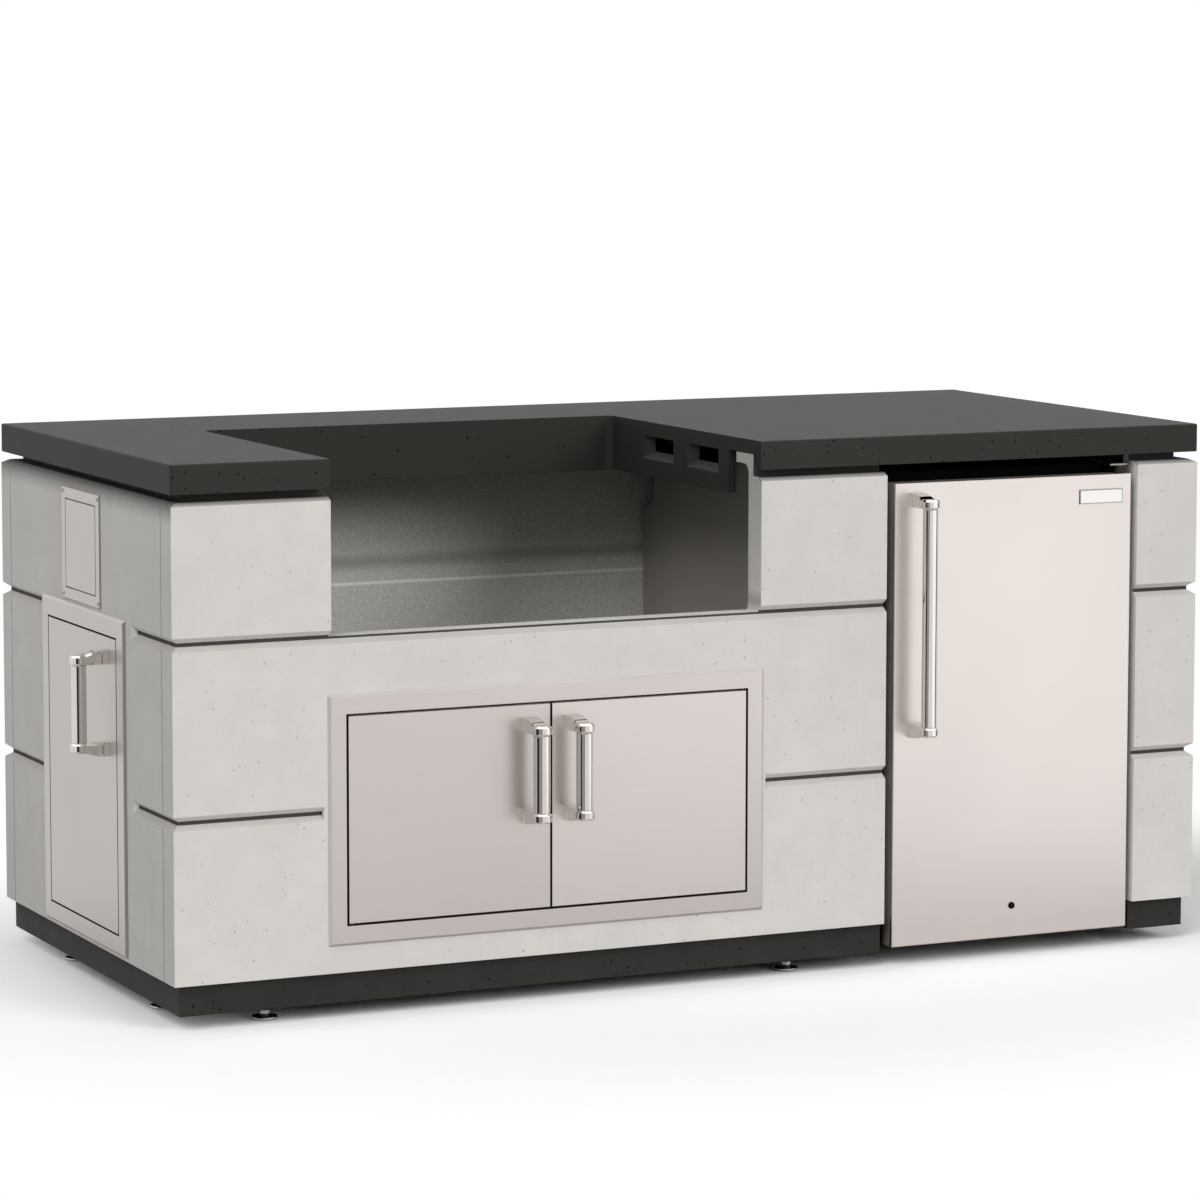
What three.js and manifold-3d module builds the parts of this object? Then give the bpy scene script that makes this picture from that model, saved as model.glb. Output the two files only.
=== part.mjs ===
import * as THREE from "three";
import { mergeVertices } from "three/addons/utils/BufferGeometryUtils.js";
import Module from "manifold-3d";

// Outdoor kitchen island: a cast counter on cast wall panels, with a cut-out for a drop-in grill,
// a pair of access doors, a side access door and an under-counter fridge.
// Millimetres. The island frame has X along the front from the left face, Y from the front face to
// the back and Z up from the floor. The whole group is then moved so that the middle of its bounding
// box stands on the origin.

// Overall sizes
const island_length = 1900;
const island_depth = 868;
const island_height = 914;

// Clearances
const seat = 0.3;
const overrun = 20;
const door_gap = 3;
const pin_play = 0.3;

// Wall panels
const panel_bottom = 77;
const panel_thickness = 49;
const lower_thickening = 6;
const step_low = 607;
const step_high = 645;
const groove_heights = [339.6, 625.6];
const groove_floor = 6.6;
const groove_depth = 11.6;
const groove_chamfer = 8;
const shoulder_drop = 61.5;
const shoulder_chamfer = 6;
const shoulder_reach = 12;
const riser_depth = 30;
const flange_reach = 94.5;
const flange_thickness = 19;
const flange_fillet = 16;
const fillet_steps = 5;

// Counter
const slab_thickness = 23.5;
const lip_depth = 48.6;
const lip_thickness = 18.5;
const counter_corner = 4;
const counter_round = 2.5;
const cutout_left = 270.2;
const cutout_right = 1043.9;
const cutout_back = 586;
const cutout_corner = 15;
const apron_thickness = 15.3;
const apron_drop = 97;
const apron_start = 120;
const window_starts = [159.4, 333.7];
const window_width = 122;
const window_head = 2.5;
const window_height = 39.5;
const window_splay = 20;
const sill_rise = 13;

// Openings in the front wall: the fridge bay is measured from the island's right face
const grill_ledge_drop = 288;
const grill_cut_margin = 1.5;
const corner_panel_width = 121.9;
const bay_gap_left = 14.2;
const bay_gap_right = 13.1;

// Base, floor, divider and feet
const base_inset = 12.2;
const base_bottom = 25.7;
const base_rail = 72;
const base_gap_margin = 1.4;
const floor_thickness = 12;
const divider_from_bay = 68.8;
const divider_sheet = 2;
const divider_flange = 22;
const divider_notch_height = 740;
const divider_notch_depth = 44;
const divider_notch_run = 30;
const divider_top_corner = 20;
const foot_pad_radius = 22;
const foot_pad_height = 6.5;
const foot_pad_rim = 1.5;
const foot_neck_radius = 8;
const foot_nut_radius = 9.5;
const foot_nut_height = 6;
const foot_nut_gap = 2;
const stud_radius = 5.3;
const stud_length = 52;
const stud_play = 0.3;
const foot_inset = 62;
const side_foot_inset = 55;
const front_foot_places = [176, 1128];
const side_foot_places = [210, 650];

// Framed access doors: sheet thicknesses and the handle, shared by all of them
const frame_proud = 5;
const frame_bevel = 4.5;
const frame_sheet = 2;
const sleeve_past_wall = 3;
const stop_width = 12;
const stop_gap = 1.7;
const door_thickness = 19;
const door_sheet = 2;
const door_return = 14;
const hinge_offset = 6;
const hinge_pin_radius = 3;
const hinge_pin_length = 12;
const hinge_head_radius = 4.5;
const catch_width = 36;
const catch_depth = 14;
const catch_height = 12;

// The pair of doors on the front
const front_frame_left = 263.8;
const front_frame_width = 786.2;
const front_frame_bottom = 121.5;
const front_frame_height = 411.5;
const front_frame_border = 31.2;
const front_frame_border_top = 33;
const front_pad_margin = 5.5;

// The single door on the left side, measured from the front face
const side_frame_near = 220;
const side_frame_width = 418;
const side_frame_bottom = 83;
const side_frame_height = 558.5;
const side_frame_border = 34;
const side_frame_border_top = 32.5;
const side_pad_margin_near = 26;
const side_pad_margin_far = 13.7;

// Small cover plate on the left side
const utility_near = 339.5;
const utility_width = 192;
const utility_bottom = 647;
const utility_height = 188.5;
const utility_border = 18.8;
const utility_proud = 3;
const utility_gap = 1.2;
const utility_bevel = 1;
const utility_lip = 6;
const utility_depth = 42;

// Bar handles
const bar_radius = 12.5;
const cap_margin = 1.75;
const bracket_height = 15;
const bracket_bevel = 1.4;
const arm_inside_cap = 3.25;
const arm_flare = 3;
const handle_standoff = 48;
const front_handle_length = 158;
const front_handle_centre = 388;
const front_handle_from_split = 38.5;
const side_handle_length = 159;
const side_handle_centre = 497.5;
const side_handle_place = 302;
const fridge_handle_length = 402;
const fridge_handle_centre = 606;
const fridge_handle_from_edge = 42;

// Fridge door, cabinet and liner
const fridge_door_width = 466;
const fridge_door_bottom = 35;
const fridge_door_height = 797.5;
const fridge_door_front = -1;
const fridge_door_thickness = 35;
const fridge_door_round = 2;
const fridge_door_skin = 2;
const fridge_door_return = 12;
const door_liner_sheet = 3;
const door_liner_inset = 10;
const dike_inset = 54;
const dike_depth = 20;
const dike_width = 12;
const door_tray_heights = [130, 330, 560];
const door_tray_reach = 62;
const door_tray_sheet = 3;
const door_tray_lip = 32;
const gasket_inset = 16;
const gasket_width = 14;
const gasket_thickness = 9;
const cabinet_side_inset = 3;
const cabinet_bottom = 32;
const cabinet_above_door = 13.5;
const cabinet_front = 47;
const cabinet_depth = 575;
const cabinet_wall = 42;
const cabinet_front_wall_bottom = 45;
const machine_recess_depth = 150;
const machine_recess_height = 206;
const machine_side_wall = 30;
const cabinet_skin = 2;
const liner_sheet = 2.5;
const runner_heights = [340, 560];
const runner_reach = 8;
const runner_thickness = 5;
const runner_front = 96;
const shelf_front = 110;
const shelf_thickness = 5;
const shelf_rim = 8;
const shelf_slot_count = 9;
const shelf_bar = 6;
const compressor_radius = 62;
const compressor_height = 150;
const compressor_foot_height = 8;
const knob_radius = 15;
const knob_height = 12;
const knob_grip_half_width = 3;
const knob_grip_rise = 4.8;
const knob_place_y = 180;
const knob_place_z = 730;
const fridge_foot_radius = 16;
const fridge_foot_inset = 50;
const fridge_front_foot_inset = 130;
const fridge_foot_stem = 5;
const fridge_foot_pad = 8;
const fridge_foot_bore = 14;

// Fridge hinges, lock and plate
const fridge_hinge_offset = 15;
const fridge_hinge_depth = 18;
const fridge_pin_radius = 4;
const fridge_pin_length = 14;
const hinge_plate = 3;
const hinge_plate_width = 44;
const hinge_plate_reach = 60;
const hinge_bush_radius = 8;
const lock_from_edge = 235;
const lock_height = 90;
const lock_radius = 4.5;
const lock_length = 24;
const lock_flange_radius = 6;
const lock_flange = 1.6;
const plate_from_edge = 61;
const plate_below_top = 37.5;
const plate_width = 86;
const plate_tall = 25;
const plate_thickness = 1.6;

// Derived heights and places
const slab_under = island_height - slab_thickness;
const lower_thickness = panel_thickness + lower_thickening;
const sleeve_depth = lower_thickness + sleeve_past_wall;
const shoulder_height = island_height - shoulder_drop;
const window_top = slab_under - window_head;
const window_sill = window_top - window_height;
const grill_ledge = island_height - grill_ledge_drop;
const fridge_bay_right = island_length - corner_panel_width;
const fridge_door_right = fridge_bay_right - bay_gap_right;
const fridge_door_left = fridge_door_right - fridge_door_width;
const fridge_bay_left = fridge_door_left - bay_gap_left;
const divider_place = fridge_bay_left - divider_from_bay;
const cap_radius = bar_radius + cap_margin;
const arm_half_width = cap_radius - arm_inside_cap;
const arm_foot_half_width = arm_half_width + arm_flare;
const lip_bottom = island_height - lip_depth;
const panel_top = slab_under - seat;
const flange_under = panel_top - flange_thickness;
const groove_half = groove_floor / 2;
const base_top = panel_bottom - seat;
const floor_top = panel_bottom + floor_thickness;
const base_inner = base_inset + base_rail;
const cross_rail_right = fridge_bay_left - base_gap_margin;
const fridge_door_top = fridge_door_bottom + fridge_door_height;
const cabinet_top = fridge_door_top + cabinet_above_door;
const fridge_handle_place = fridge_door_left + fridge_handle_from_edge;
const lock_place = fridge_door_left + lock_from_edge;
const plate_place = fridge_door_right - plate_from_edge;
const plate_height = fridge_door_top - plate_below_top;
const fridge_door_back = fridge_door_front + fridge_door_thickness;
const cabinet_left = fridge_door_left + cabinet_side_inset;
const cabinet_right = fridge_door_right - cabinet_side_inset;
const cabinet_back = cabinet_front + cabinet_depth;
const liner_left = cabinet_left + cabinet_wall;
const liner_right = cabinet_right - cabinet_wall;
const liner_bottom = cabinet_bottom + cabinet_front_wall_bottom;
const liner_top = cabinet_top - cabinet_wall;
const liner_back = cabinet_back - cabinet_wall;
const recess_bottom = cabinet_bottom + cabinet_skin;
const recess_top = recess_bottom + machine_recess_height;
const liner_step_height = recess_top + cabinet_wall;
const liner_step_place = cabinet_back - machine_recess_depth - cabinet_wall;
const fridge_pin_x = fridge_door_right - fridge_hinge_offset;
const fridge_pin_y = fridge_door_front + fridge_hinge_depth;

const wasm = await Module();
wasm.setup();

// Solids and booleans

function to_solid(geometry) {
  const bare = geometry.clone();
  bare.deleteAttribute("normal");
  bare.deleteAttribute("uv");
  const merged = mergeVertices(bare);
  const vertProperties = new Float32Array(merged.attributes.position.array);
  const triVerts = new Uint32Array(merged.index.array);
  return new wasm.Manifold(new wasm.Mesh({ numProp: 3, vertProperties, triVerts }));
}

function to_geometry(solid) {
  const mesh = solid.getMesh();
  const geometry = new THREE.BufferGeometry();
  geometry.setAttribute("position", new THREE.BufferAttribute(mesh.vertProperties, 3));
  geometry.setIndex(new THREE.BufferAttribute(mesh.triVerts, 1));
  const flat = geometry.toNonIndexed();
  flat.computeVertexNormals();
  return flat;
}

// A straight-sided block between two corners
function block(low, high) {
  const size = high.map((value, axis) => value - low[axis]);
  const geometry = new THREE.BoxGeometry(...size);
  geometry.translate(...low.map((value, axis) => value + size[axis] / 2));
  return to_solid(geometry);
}

// A skin through rings of equally many points, closed by a flat fan at each end
function skin(rings) {
  const count = rings[0].length;
  const position = rings.flat(2);
  const index = [];
  for (let ring = 0; ring + 1 < rings.length; ring += 1) {
    for (let point = 0; point < count; point += 1) {
      const next = (point + 1) % count;
      const a = ring * count + point;
      const b = ring * count + next;
      index.push(a, b, b + count, a, b + count, a + count);
    }
  }
  const last = (rings.length - 1) * count;
  for (let point = 1; point + 1 < count; point += 1) {
    index.push(0, point + 1, point);
    index.push(last, last + point, last + point + 1);
  }
  const geometry = new THREE.BufferGeometry();
  geometry.setAttribute("position", new THREE.BufferAttribute(new Float32Array(position), 3));
  geometry.setIndex(index);
  return to_solid(geometry);
}

// A level ring of a rectangle's corners, rounded when a radius is given
function level_ring(left, right, front, back, height, radius = 0, steps = 3) {
  if (radius === 0) {
    return [[left, front, height], [right, front, height], [right, back, height], [left, back, height]];
  }
  const centres = [
    [right - radius, front + radius, -Math.PI / 2],
    [right - radius, back - radius, 0],
    [left + radius, back - radius, Math.PI / 2],
    [left + radius, front + radius, Math.PI],
  ];
  return centres.flatMap(([x, y, start]) => Array.from({ length: steps + 1 }, (unused, step) => {
    const angle = start + (Math.PI / 2) * (step / steps);
    return [x + radius * Math.cos(angle), y + radius * Math.sin(angle), height];
  }));
}

// The island's outline drawn in by each row's inset, at that row's height
function outline_stack(rows, radius = 0) {
  return skin(rows.map(([inset, height]) => level_ring(
    inset, island_length - inset, inset, island_depth - inset, height, Math.max(radius - inset, radius && 1),
  )));
}

// A plan outline raised between two heights
function raised(points, low, high) {
  const outline = (corners) => new THREE.Shape(corners.map((corner) => new THREE.Vector2(...corner)));
  const shape = points instanceof THREE.Shape ? points : outline(points);
  const settings = { depth: high - low, bevelEnabled: false, curveSegments: 6 };
  const geometry = new THREE.ExtrudeGeometry(shape, settings);
  geometry.translate(0, 0, low);
  return to_solid(geometry);
}

// An outline in depth and height, run along X between two places
function run_along_x(points, left, right) {
  const shape = new THREE.Shape(points.map((p) => new THREE.Vector2(...p)));
  const geometry = new THREE.ExtrudeGeometry(shape, { depth: right - left, bevelEnabled: false });
  geometry.rotateX(Math.PI / 2);
  geometry.rotateZ(Math.PI / 2);
  geometry.translate(left, 0, 0);
  return to_solid(geometry);
}

// A turned piece about Z from rows of radius and height
function turned(rows, segments = 16) {
  const geometry = new THREE.LatheGeometry(rows.map((row) => new THREE.Vector2(...row)), segments);
  geometry.rotateX(Math.PI / 2);
  return to_solid(geometry);
}

function rod(radius, low, high, segments = 16) {
  return turned([[0, low], [radius, low], [radius, high], [0, high]], segments);
}

function join(solids) {
  return solids.reduce((whole, solid) => whole.add(solid));
}

function cut(solid, cutters) {
  return cutters.reduce((rest, cutter) => rest.subtract(cutter), solid);
}

// Materials: colour, roughness and metalness of each finish
const finishes = {
  dark_concrete: [0x4a4945, 0.62, 0],
  light_concrete: [0xd6d3cd, 0.85, 0],
  base_paint: [0x34332f, 0.7, 0],
  board: [0x8f8b84, 0.9, 0],
  sheet_steel: [0x6c6863, 0.42, 0.9],
  brushed_steel: [0xcfc5c1, 0.36, 0.85],
  chrome: [0xe4e4e6, 0.08, 1],
  cabinet_paint: [0x48453f, 0.55, 0.1],
  liner_plastic: [0xd9dbdc, 0.5, 0],
  gasket_rubber: [0x23221f, 0.8, 0],
  black_metal: [0x1d1d1c, 0.45, 0.5],
};

const island = new THREE.Group();

function add(name, finish, geometry, parent = island) {
  const [color, roughness, metalness] = finishes[finish];
  const material = new THREE.MeshStandardMaterial({ color, roughness, metalness });
  const mesh = new THREE.Mesh(geometry, material);
  mesh.name = name;
  parent.add(mesh);
  return mesh;
}

// Wall panels

function groove_rows(middle) {
  const mouth = groove_half + groove_chamfer;
  return [
    [0, middle - mouth],
    [groove_depth, middle - groove_half],
    [groove_depth, middle + groove_half],
    [0, middle + mouth],
  ];
}

function wall_outer() {
  return outline_stack([
    [0, panel_bottom],
    ...groove_heights.flatMap(groove_rows),
    [0, shoulder_height - shoulder_chamfer],
    [shoulder_reach, shoulder_height],
    [riser_depth, shoulder_height],
    [riser_depth, panel_top],
  ]);
}

function wall_hollow() {
  const fillet = Array.from({ length: fillet_steps + 1 }, (unused, step) => {
    const angle = (Math.PI / 2) * (step / fillet_steps);
    return [
      panel_thickness + flange_fillet * (1 - Math.cos(angle)),
      flange_under - flange_fillet * (1 - Math.sin(angle)),
    ];
  });
  return outline_stack([
    [lower_thickness, panel_bottom - overrun],
    [lower_thickness, step_low],
    [panel_thickness, step_high],
    ...fillet,
    [flange_reach, flange_under],
    [flange_reach, panel_top + overrun],
  ]);
}

const wall_ring = wall_outer().subtract(wall_hollow());

function wall_part(points) {
  return wall_ring.intersect(raised(points, panel_bottom - overrun, panel_top + overrun));
}

// Plan of the front wall's share of the ring: the whole length outside, between the side flanges inside
function front_share_plan(mirror) {
  const seam = seat / 2;
  const edge = flange_reach + overrun;
  const points = [
    [-overrun, -overrun],
    [island_length + overrun, -overrun],
    [island_length + overrun, panel_thickness - seam],
    [island_length - flange_reach - seam, panel_thickness - seam],
    [island_length - flange_reach - seam, edge],
    [flange_reach + seam, edge],
    [flange_reach + seam, panel_thickness - seam],
    [-overrun, panel_thickness - seam],
  ];
  return mirror ? points.map(([x, y]) => [x, island_depth - y]).reverse() : points;
}

function side_share_plan(mirror) {
  const seam = seat / 2;
  const points = [
    [-overrun, panel_thickness + seam],
    [flange_reach - seam, panel_thickness + seam],
    [flange_reach - seam, island_depth - panel_thickness - seam],
    [-overrun, island_depth - panel_thickness - seam],
  ];
  return mirror ? points.map(([x, y]) => [island_length - x, y]).reverse() : points;
}

// Framed doors: the outer frame, its field and the field's middle, in the frame's own plane

function frame_spec(width, height, border, border_top) {
  return {
    width,
    height,
    field_width: width - 2 * border,
    field_height: height - 2 * border_top,
  };
}

const front_spec = frame_spec(
  front_frame_width,
  front_frame_height,
  front_frame_border,
  front_frame_border_top,
);
const side_spec = frame_spec(side_frame_width, side_frame_height, side_frame_border, side_frame_border_top);
const front_middle = front_frame_left + front_frame_width / 2;
const front_middle_height = front_frame_bottom + front_frame_height / 2;
const side_middle = side_frame_near + side_frame_width / 2;
const side_middle_height = side_frame_bottom + side_frame_height / 2;
const utility_middle = utility_near + utility_width / 2;
const utility_middle_height = utility_bottom + utility_height / 2;
const utility_field_width = utility_width - 2 * utility_border;
const utility_field_height = utility_height - 2 * utility_border;

function centred_block(width, height, front, back) {
  return block([-width / 2, front, -height / 2], [width / 2, back, height / 2]);
}

// The hole that a frame's sleeve needs in the wall, in the frame's own plane
function sleeve_hole(spec) {
  const margin = 2 * (frame_sheet + seat);
  const width = spec.field_width + margin;
  const height = spec.field_height + margin;
  return centred_block(width, height, -overrun, sleeve_depth + overrun);
}

function utility_hole() {
  const margin = 2 * (frame_sheet + seat);
  return centred_block(utility_field_width + margin, utility_field_height + margin, -overrun, flange_reach);
}

function turn_to_left_side(solid, middle, height) {
  return solid.rotate([0, 0, -90]).translate([0, middle, height]);
}

function front_panel() {
  const [lower_groove] = groove_heights;
  const reach = groove_half + groove_chamfer;
  const filler = block(
    [front_frame_left - front_pad_margin, 0, lower_groove - reach],
    [front_frame_left + front_frame_width + front_pad_margin, panel_thickness - seat, lower_groove + reach],
  );
  const left_of_fridge = block(
    [-overrun, -overrun, 0],
    [fridge_bay_left, island_depth / 2, island_height],
  );
  const grill_cut = block(
    [cutout_left + grill_cut_margin, -overrun, grill_ledge],
    [cutout_right + grill_cut_margin, island_depth / 2, island_height],
  );
  const hole = sleeve_hole(front_spec).translate([front_middle, 0, front_middle_height]);
  const wall = wall_part(front_share_plan(false)).intersect(left_of_fridge).add(filler);
  return cut(wall, [grill_cut, hole]);
}

function front_corner_panel() {
  const right_of_fridge = block(
    [fridge_bay_right, -overrun, 0],
    [island_length + overrun, island_depth / 2, island_height],
  );
  return wall_part(front_share_plan(false)).intersect(right_of_fridge);
}

function left_panel() {
  const reach = groove_half + groove_chamfer;
  const fillers = groove_heights.map((middle) => block(
    [0, side_frame_near - side_pad_margin_near, middle - reach],
    [panel_thickness - seat, side_frame_near + side_frame_width + side_pad_margin_far, middle + reach],
  ));
  const wall = join([wall_part(side_share_plan(false)), ...fillers]);
  return cut(wall, [
    turn_to_left_side(sleeve_hole(side_spec), side_middle, side_middle_height),
    turn_to_left_side(utility_hole(), utility_middle, utility_middle_height),
  ]);
}

add("front_panel", "light_concrete", to_geometry(front_panel()));
add("front_corner_panel", "light_concrete", to_geometry(front_corner_panel()));
add("left_panel", "light_concrete", to_geometry(left_panel()));
add("right_panel", "light_concrete", to_geometry(wall_part(side_share_plan(true))));
add("back_panel", "light_concrete", to_geometry(wall_part(front_share_plan(true))));

// Counter

function window_cutter(start, face, outward) {
  const near = start;
  const far = start + window_width;
  const ring = (x, splay, rise) => [
    [x, near + splay, window_sill + rise],
    [x, far - splay, window_sill + rise],
    [x, far - splay, window_top],
    [x, near + splay, window_top],
  ];
  const before_share = -overrun / apron_thickness;
  const rings = [
    ring(face - outward * overrun, window_splay * before_share, sill_rise * before_share),
    ring(face + outward * apron_thickness, window_splay, sill_rise),
    ring(face + outward * (apron_thickness + overrun), window_splay, sill_rise),
  ];
  return skin(outward > 0 ? rings : rings.reverse());
}

function cutout_prism() {
  const shape = new THREE.Shape();
  const corner_y = cutout_back - cutout_corner;
  shape.moveTo(cutout_left, -overrun);
  shape.lineTo(cutout_right, -overrun);
  shape.lineTo(cutout_right, corner_y);
  shape.absarc(cutout_right - cutout_corner, corner_y, cutout_corner, 0, Math.PI / 2, false);
  shape.lineTo(cutout_left + cutout_corner, cutout_back);
  shape.absarc(cutout_left + cutout_corner, corner_y, cutout_corner, Math.PI / 2, Math.PI, false);
  return raised(shape, slab_under - apron_drop, island_height + overrun);
}

function countertop() {
  const shell = outline_stack([
    [0, lip_bottom],
    [0, island_height - counter_round],
    [counter_round * (1 - Math.SQRT1_2), island_height - counter_round * (1 - Math.SQRT1_2)],
    [counter_round, island_height],
  ], counter_corner);
  const underside = block(
    [lip_thickness, lip_thickness, lip_bottom - overrun],
    [island_length - lip_thickness, island_depth - lip_thickness, slab_under],
  );
  const apron = block(
    [cutout_left - apron_thickness, apron_start, island_height - apron_drop],
    [cutout_right + apron_thickness, cutout_back + apron_thickness, island_height - slab_thickness / 2],
  );
  const windows = window_starts.flatMap((start) => [
    window_cutter(start, cutout_right, 1),
    window_cutter(start, cutout_left, -1),
  ]);
  return cut(shell.subtract(underside).add(apron), [cutout_prism(), ...windows]);
}

add("countertop", "dark_concrete", to_geometry(countertop()));

// Base, floor and divider

const foot_places = [
  ...front_foot_places.map((x) => [x, foot_inset]),
  ...front_foot_places.map((x) => [x, island_depth - foot_inset]),
  ...side_foot_places.map((y) => [side_foot_inset, y]),
  ...side_foot_places.map((y) => [island_length - side_foot_inset, y]),
];

function base_frame() {
  const outside = block(
    [base_inset, base_inset, base_bottom],
    [island_length - base_inset, island_depth - base_inset, base_top],
  );
  const storage_hole = block(
    [base_inner, base_inner, base_bottom - overrun],
    [cross_rail_right - base_rail, island_depth - base_inner, base_top + overrun],
  );
  const bay_hole = block(
    [cross_rail_right, base_inner, base_bottom - overrun],
    [island_length - base_inner, island_depth - base_inner, base_top + overrun],
  );
  const front_gap = block(
    [cross_rail_right, -overrun, base_bottom - overrun],
    [fridge_bay_right - base_gap_margin, base_inner + seat, base_top + overrun],
  );
  const bores = foot_places.map(([x, y]) => rod(
    stud_radius + stud_play,
    base_bottom - overrun,
    foot_pad_height + stud_length + foot_nut_height,
    12,
  ).translate([x, y, 0]));
  return cut(outside, [storage_hole, bay_hole, front_gap, ...bores]);
}

function levelling_foot() {
  const nut_low = foot_pad_height + foot_nut_gap;
  const nut_high = nut_low + foot_nut_height;
  return turned([
    [0, 0],
    [foot_pad_radius - foot_pad_rim, 0],
    [foot_pad_radius, foot_pad_rim],
    [foot_pad_radius, foot_pad_height - foot_pad_rim],
    [foot_pad_radius - foot_pad_rim, foot_pad_height],
    [foot_neck_radius, foot_pad_height],
    [stud_radius, nut_low],
    [foot_nut_radius, nut_low],
    [foot_nut_radius, nut_high],
    [stud_radius, nut_high],
    [stud_radius, foot_pad_height + stud_length],
    [0, foot_pad_height + stud_length],
  ], 18);
}

function storage_floor() {
  const edge = lower_thickness + seat;
  return block([edge, edge, panel_bottom], [divider_place - seat, island_depth - edge, floor_top]);
}

// The divider stands on the base's cross rail beside the floor board, with a foot flange and a front
// flange bent towards the fridge
function bay_divider() {
  const low = panel_bottom;
  const high = flange_under - seat;
  const flange_end = divider_place + divider_sheet + divider_flange;
  const front = lower_thickness + seat;
  const back = island_depth - front;
  const notch = back - divider_notch_depth;
  const outline = [
    [front, low],
    [back, low],
    [back, divider_notch_height - divider_notch_run],
    [notch + divider_notch_depth / 2, divider_notch_height - divider_notch_run / 2],
    [notch, divider_notch_height],
    [notch, high],
    [front + divider_top_corner, high],
    [front, high - divider_top_corner],
  ];
  const sheet = run_along_x(outline, divider_place, divider_place + divider_sheet);
  const foot_flange = block([divider_place, front, low], [flange_end, back, low + divider_sheet]);
  const front_flange = block([divider_place, front, low], [flange_end, front + divider_sheet, step_low]);
  return join([sheet, foot_flange, front_flange]);
}

add("base_frame", "base_paint", to_geometry(base_frame()));
add("storage_floor", "board", to_geometry(storage_floor()));
add("bay_divider", "sheet_steel", to_geometry(bay_divider()));

const foot_geometry = to_geometry(levelling_foot());
foot_places.forEach(([x, y], number) => {
  add(`levelling_foot_${number + 1}`, "chrome", foot_geometry).position.set(x, y, 0);
});

// Door frames, doors, hinge pins, catches and handles, in the frame's own plane:
// X to the right seen from outside, Y into the wall, Z up, from the middle of the frame on the wall's face

const stop_front = door_thickness - frame_proud + stop_gap;

function face_ring(width, height, proud, bevel) {
  const ring = (grow, y) => {
    const half_width = width / 2 - grow;
    const half_height = height / 2 - grow;
    return [
      [-half_width, y, -half_height],
      [half_width, y, -half_height],
      [half_width, y, half_height],
      [-half_width, y, half_height],
    ];
  };
  return skin([ring(0, -seat), ring(bevel, -proud)]);
}

function door_frame(spec) {
  const field = (grow, front, back) => centred_block(
    spec.field_width + 2 * grow,
    spec.field_height + 2 * grow,
    front,
    back,
  );
  const face = face_ring(spec.width, spec.height, frame_proud, frame_bevel);
  const sleeve = field(frame_sheet, -frame_proud / 2, sleeve_depth);
  const shell = face.add(sleeve).subtract(field(0, -overrun, sleeve_depth + overrun));
  const stop_ring = field(frame_sheet / 2, stop_front, stop_front + frame_sheet);
  const stop_hole = field(-stop_width, stop_front - overrun, stop_front + overrun);
  return shell.add(stop_ring.subtract(stop_hole));
}

// A sheet door open at the back, with a return all round and holes for its two hinge pins
function door_leaf(width, height, hinge_x) {
  const front = -frame_proud;
  const back = front + door_thickness;
  const skin_box = centred_block(width, height, front, back);
  const hollow = centred_block(
    width - 2 * door_sheet,
    height - 2 * door_sheet,
    front + door_sheet,
    back - door_sheet,
  );
  const mouth = centred_block(
    width - 2 * door_return,
    height - 2 * door_return,
    front + door_sheet,
    back + overrun,
  );
  const pin_hole = rod(hinge_pin_radius + pin_play, -height, height, 12);
  return cut(skin_box, [hollow, mouth, pin_hole.translate([hinge_x, front + hinge_offset, 0])]);
}

// A pin that hangs from its head, seated on the sleeve
function hinge_pin() {
  const head_low = door_gap - seat;
  return turned([
    [0, seat],
    [hinge_head_radius, seat],
    [hinge_head_radius, head_low],
    [hinge_pin_radius, head_low],
    [hinge_pin_radius, door_gap + hinge_pin_length],
    [0, door_gap + hinge_pin_length],
  ], 12);
}

const pin_geometry = to_geometry(hinge_pin());

function add_hinge_pins(prefix, parent, spec, x) {
  const y = hinge_offset - frame_proud;
  const half = spec.field_height / 2;
  add(`${prefix}_lower_hinge_pin`, "chrome", pin_geometry, parent).position.set(x, y, -half);
  const upper = add(`${prefix}_upper_hinge_pin`, "chrome", pin_geometry, parent);
  upper.position.set(x, y, half);
  upper.rotation.x = Math.PI;
}

function add_catch(name, parent, spec, x) {
  const top = spec.field_height / 2 - seat;
  const front = stop_front + frame_sheet + seat;
  const low = [x - catch_width / 2, front, top - catch_height];
  const high = [x + catch_width / 2, front + catch_depth, top];
  add(name, "black_metal", to_geometry(block(low, high)), parent);
}

// A handle's end bracket: a round cap over the bar's end and an arm that flares to the door
function handle_bracket() {
  const reach = handle_standoff - seat;
  const meet = Math.sqrt(cap_radius ** 2 - arm_half_width ** 2);
  const angle = Math.atan2(meet, arm_half_width);
  const straight = (reach + meet) / 2;
  const shape = new THREE.Shape();
  shape.moveTo(arm_foot_half_width, reach);
  shape.quadraticCurveTo(arm_half_width, (reach + straight) / 2, arm_half_width, straight);
  shape.lineTo(arm_half_width, meet);
  shape.absarc(0, 0, cap_radius, angle, Math.PI - angle, true);
  shape.lineTo(-arm_half_width, straight);
  shape.quadraticCurveTo(-arm_half_width, (reach + straight) / 2, -arm_foot_half_width, reach);
  const geometry = new THREE.ExtrudeGeometry(shape, {
    depth: bracket_height - 2 * bracket_bevel,
    bevelThickness: bracket_bevel,
    bevelSize: bracket_bevel,
    bevelOffset: -bracket_bevel,
    bevelSegments: 2,
    curveSegments: 10,
  });
  geometry.translate(0, 0, bracket_bevel);
  return geometry;
}

const bracket_geometry = handle_bracket();

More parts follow.
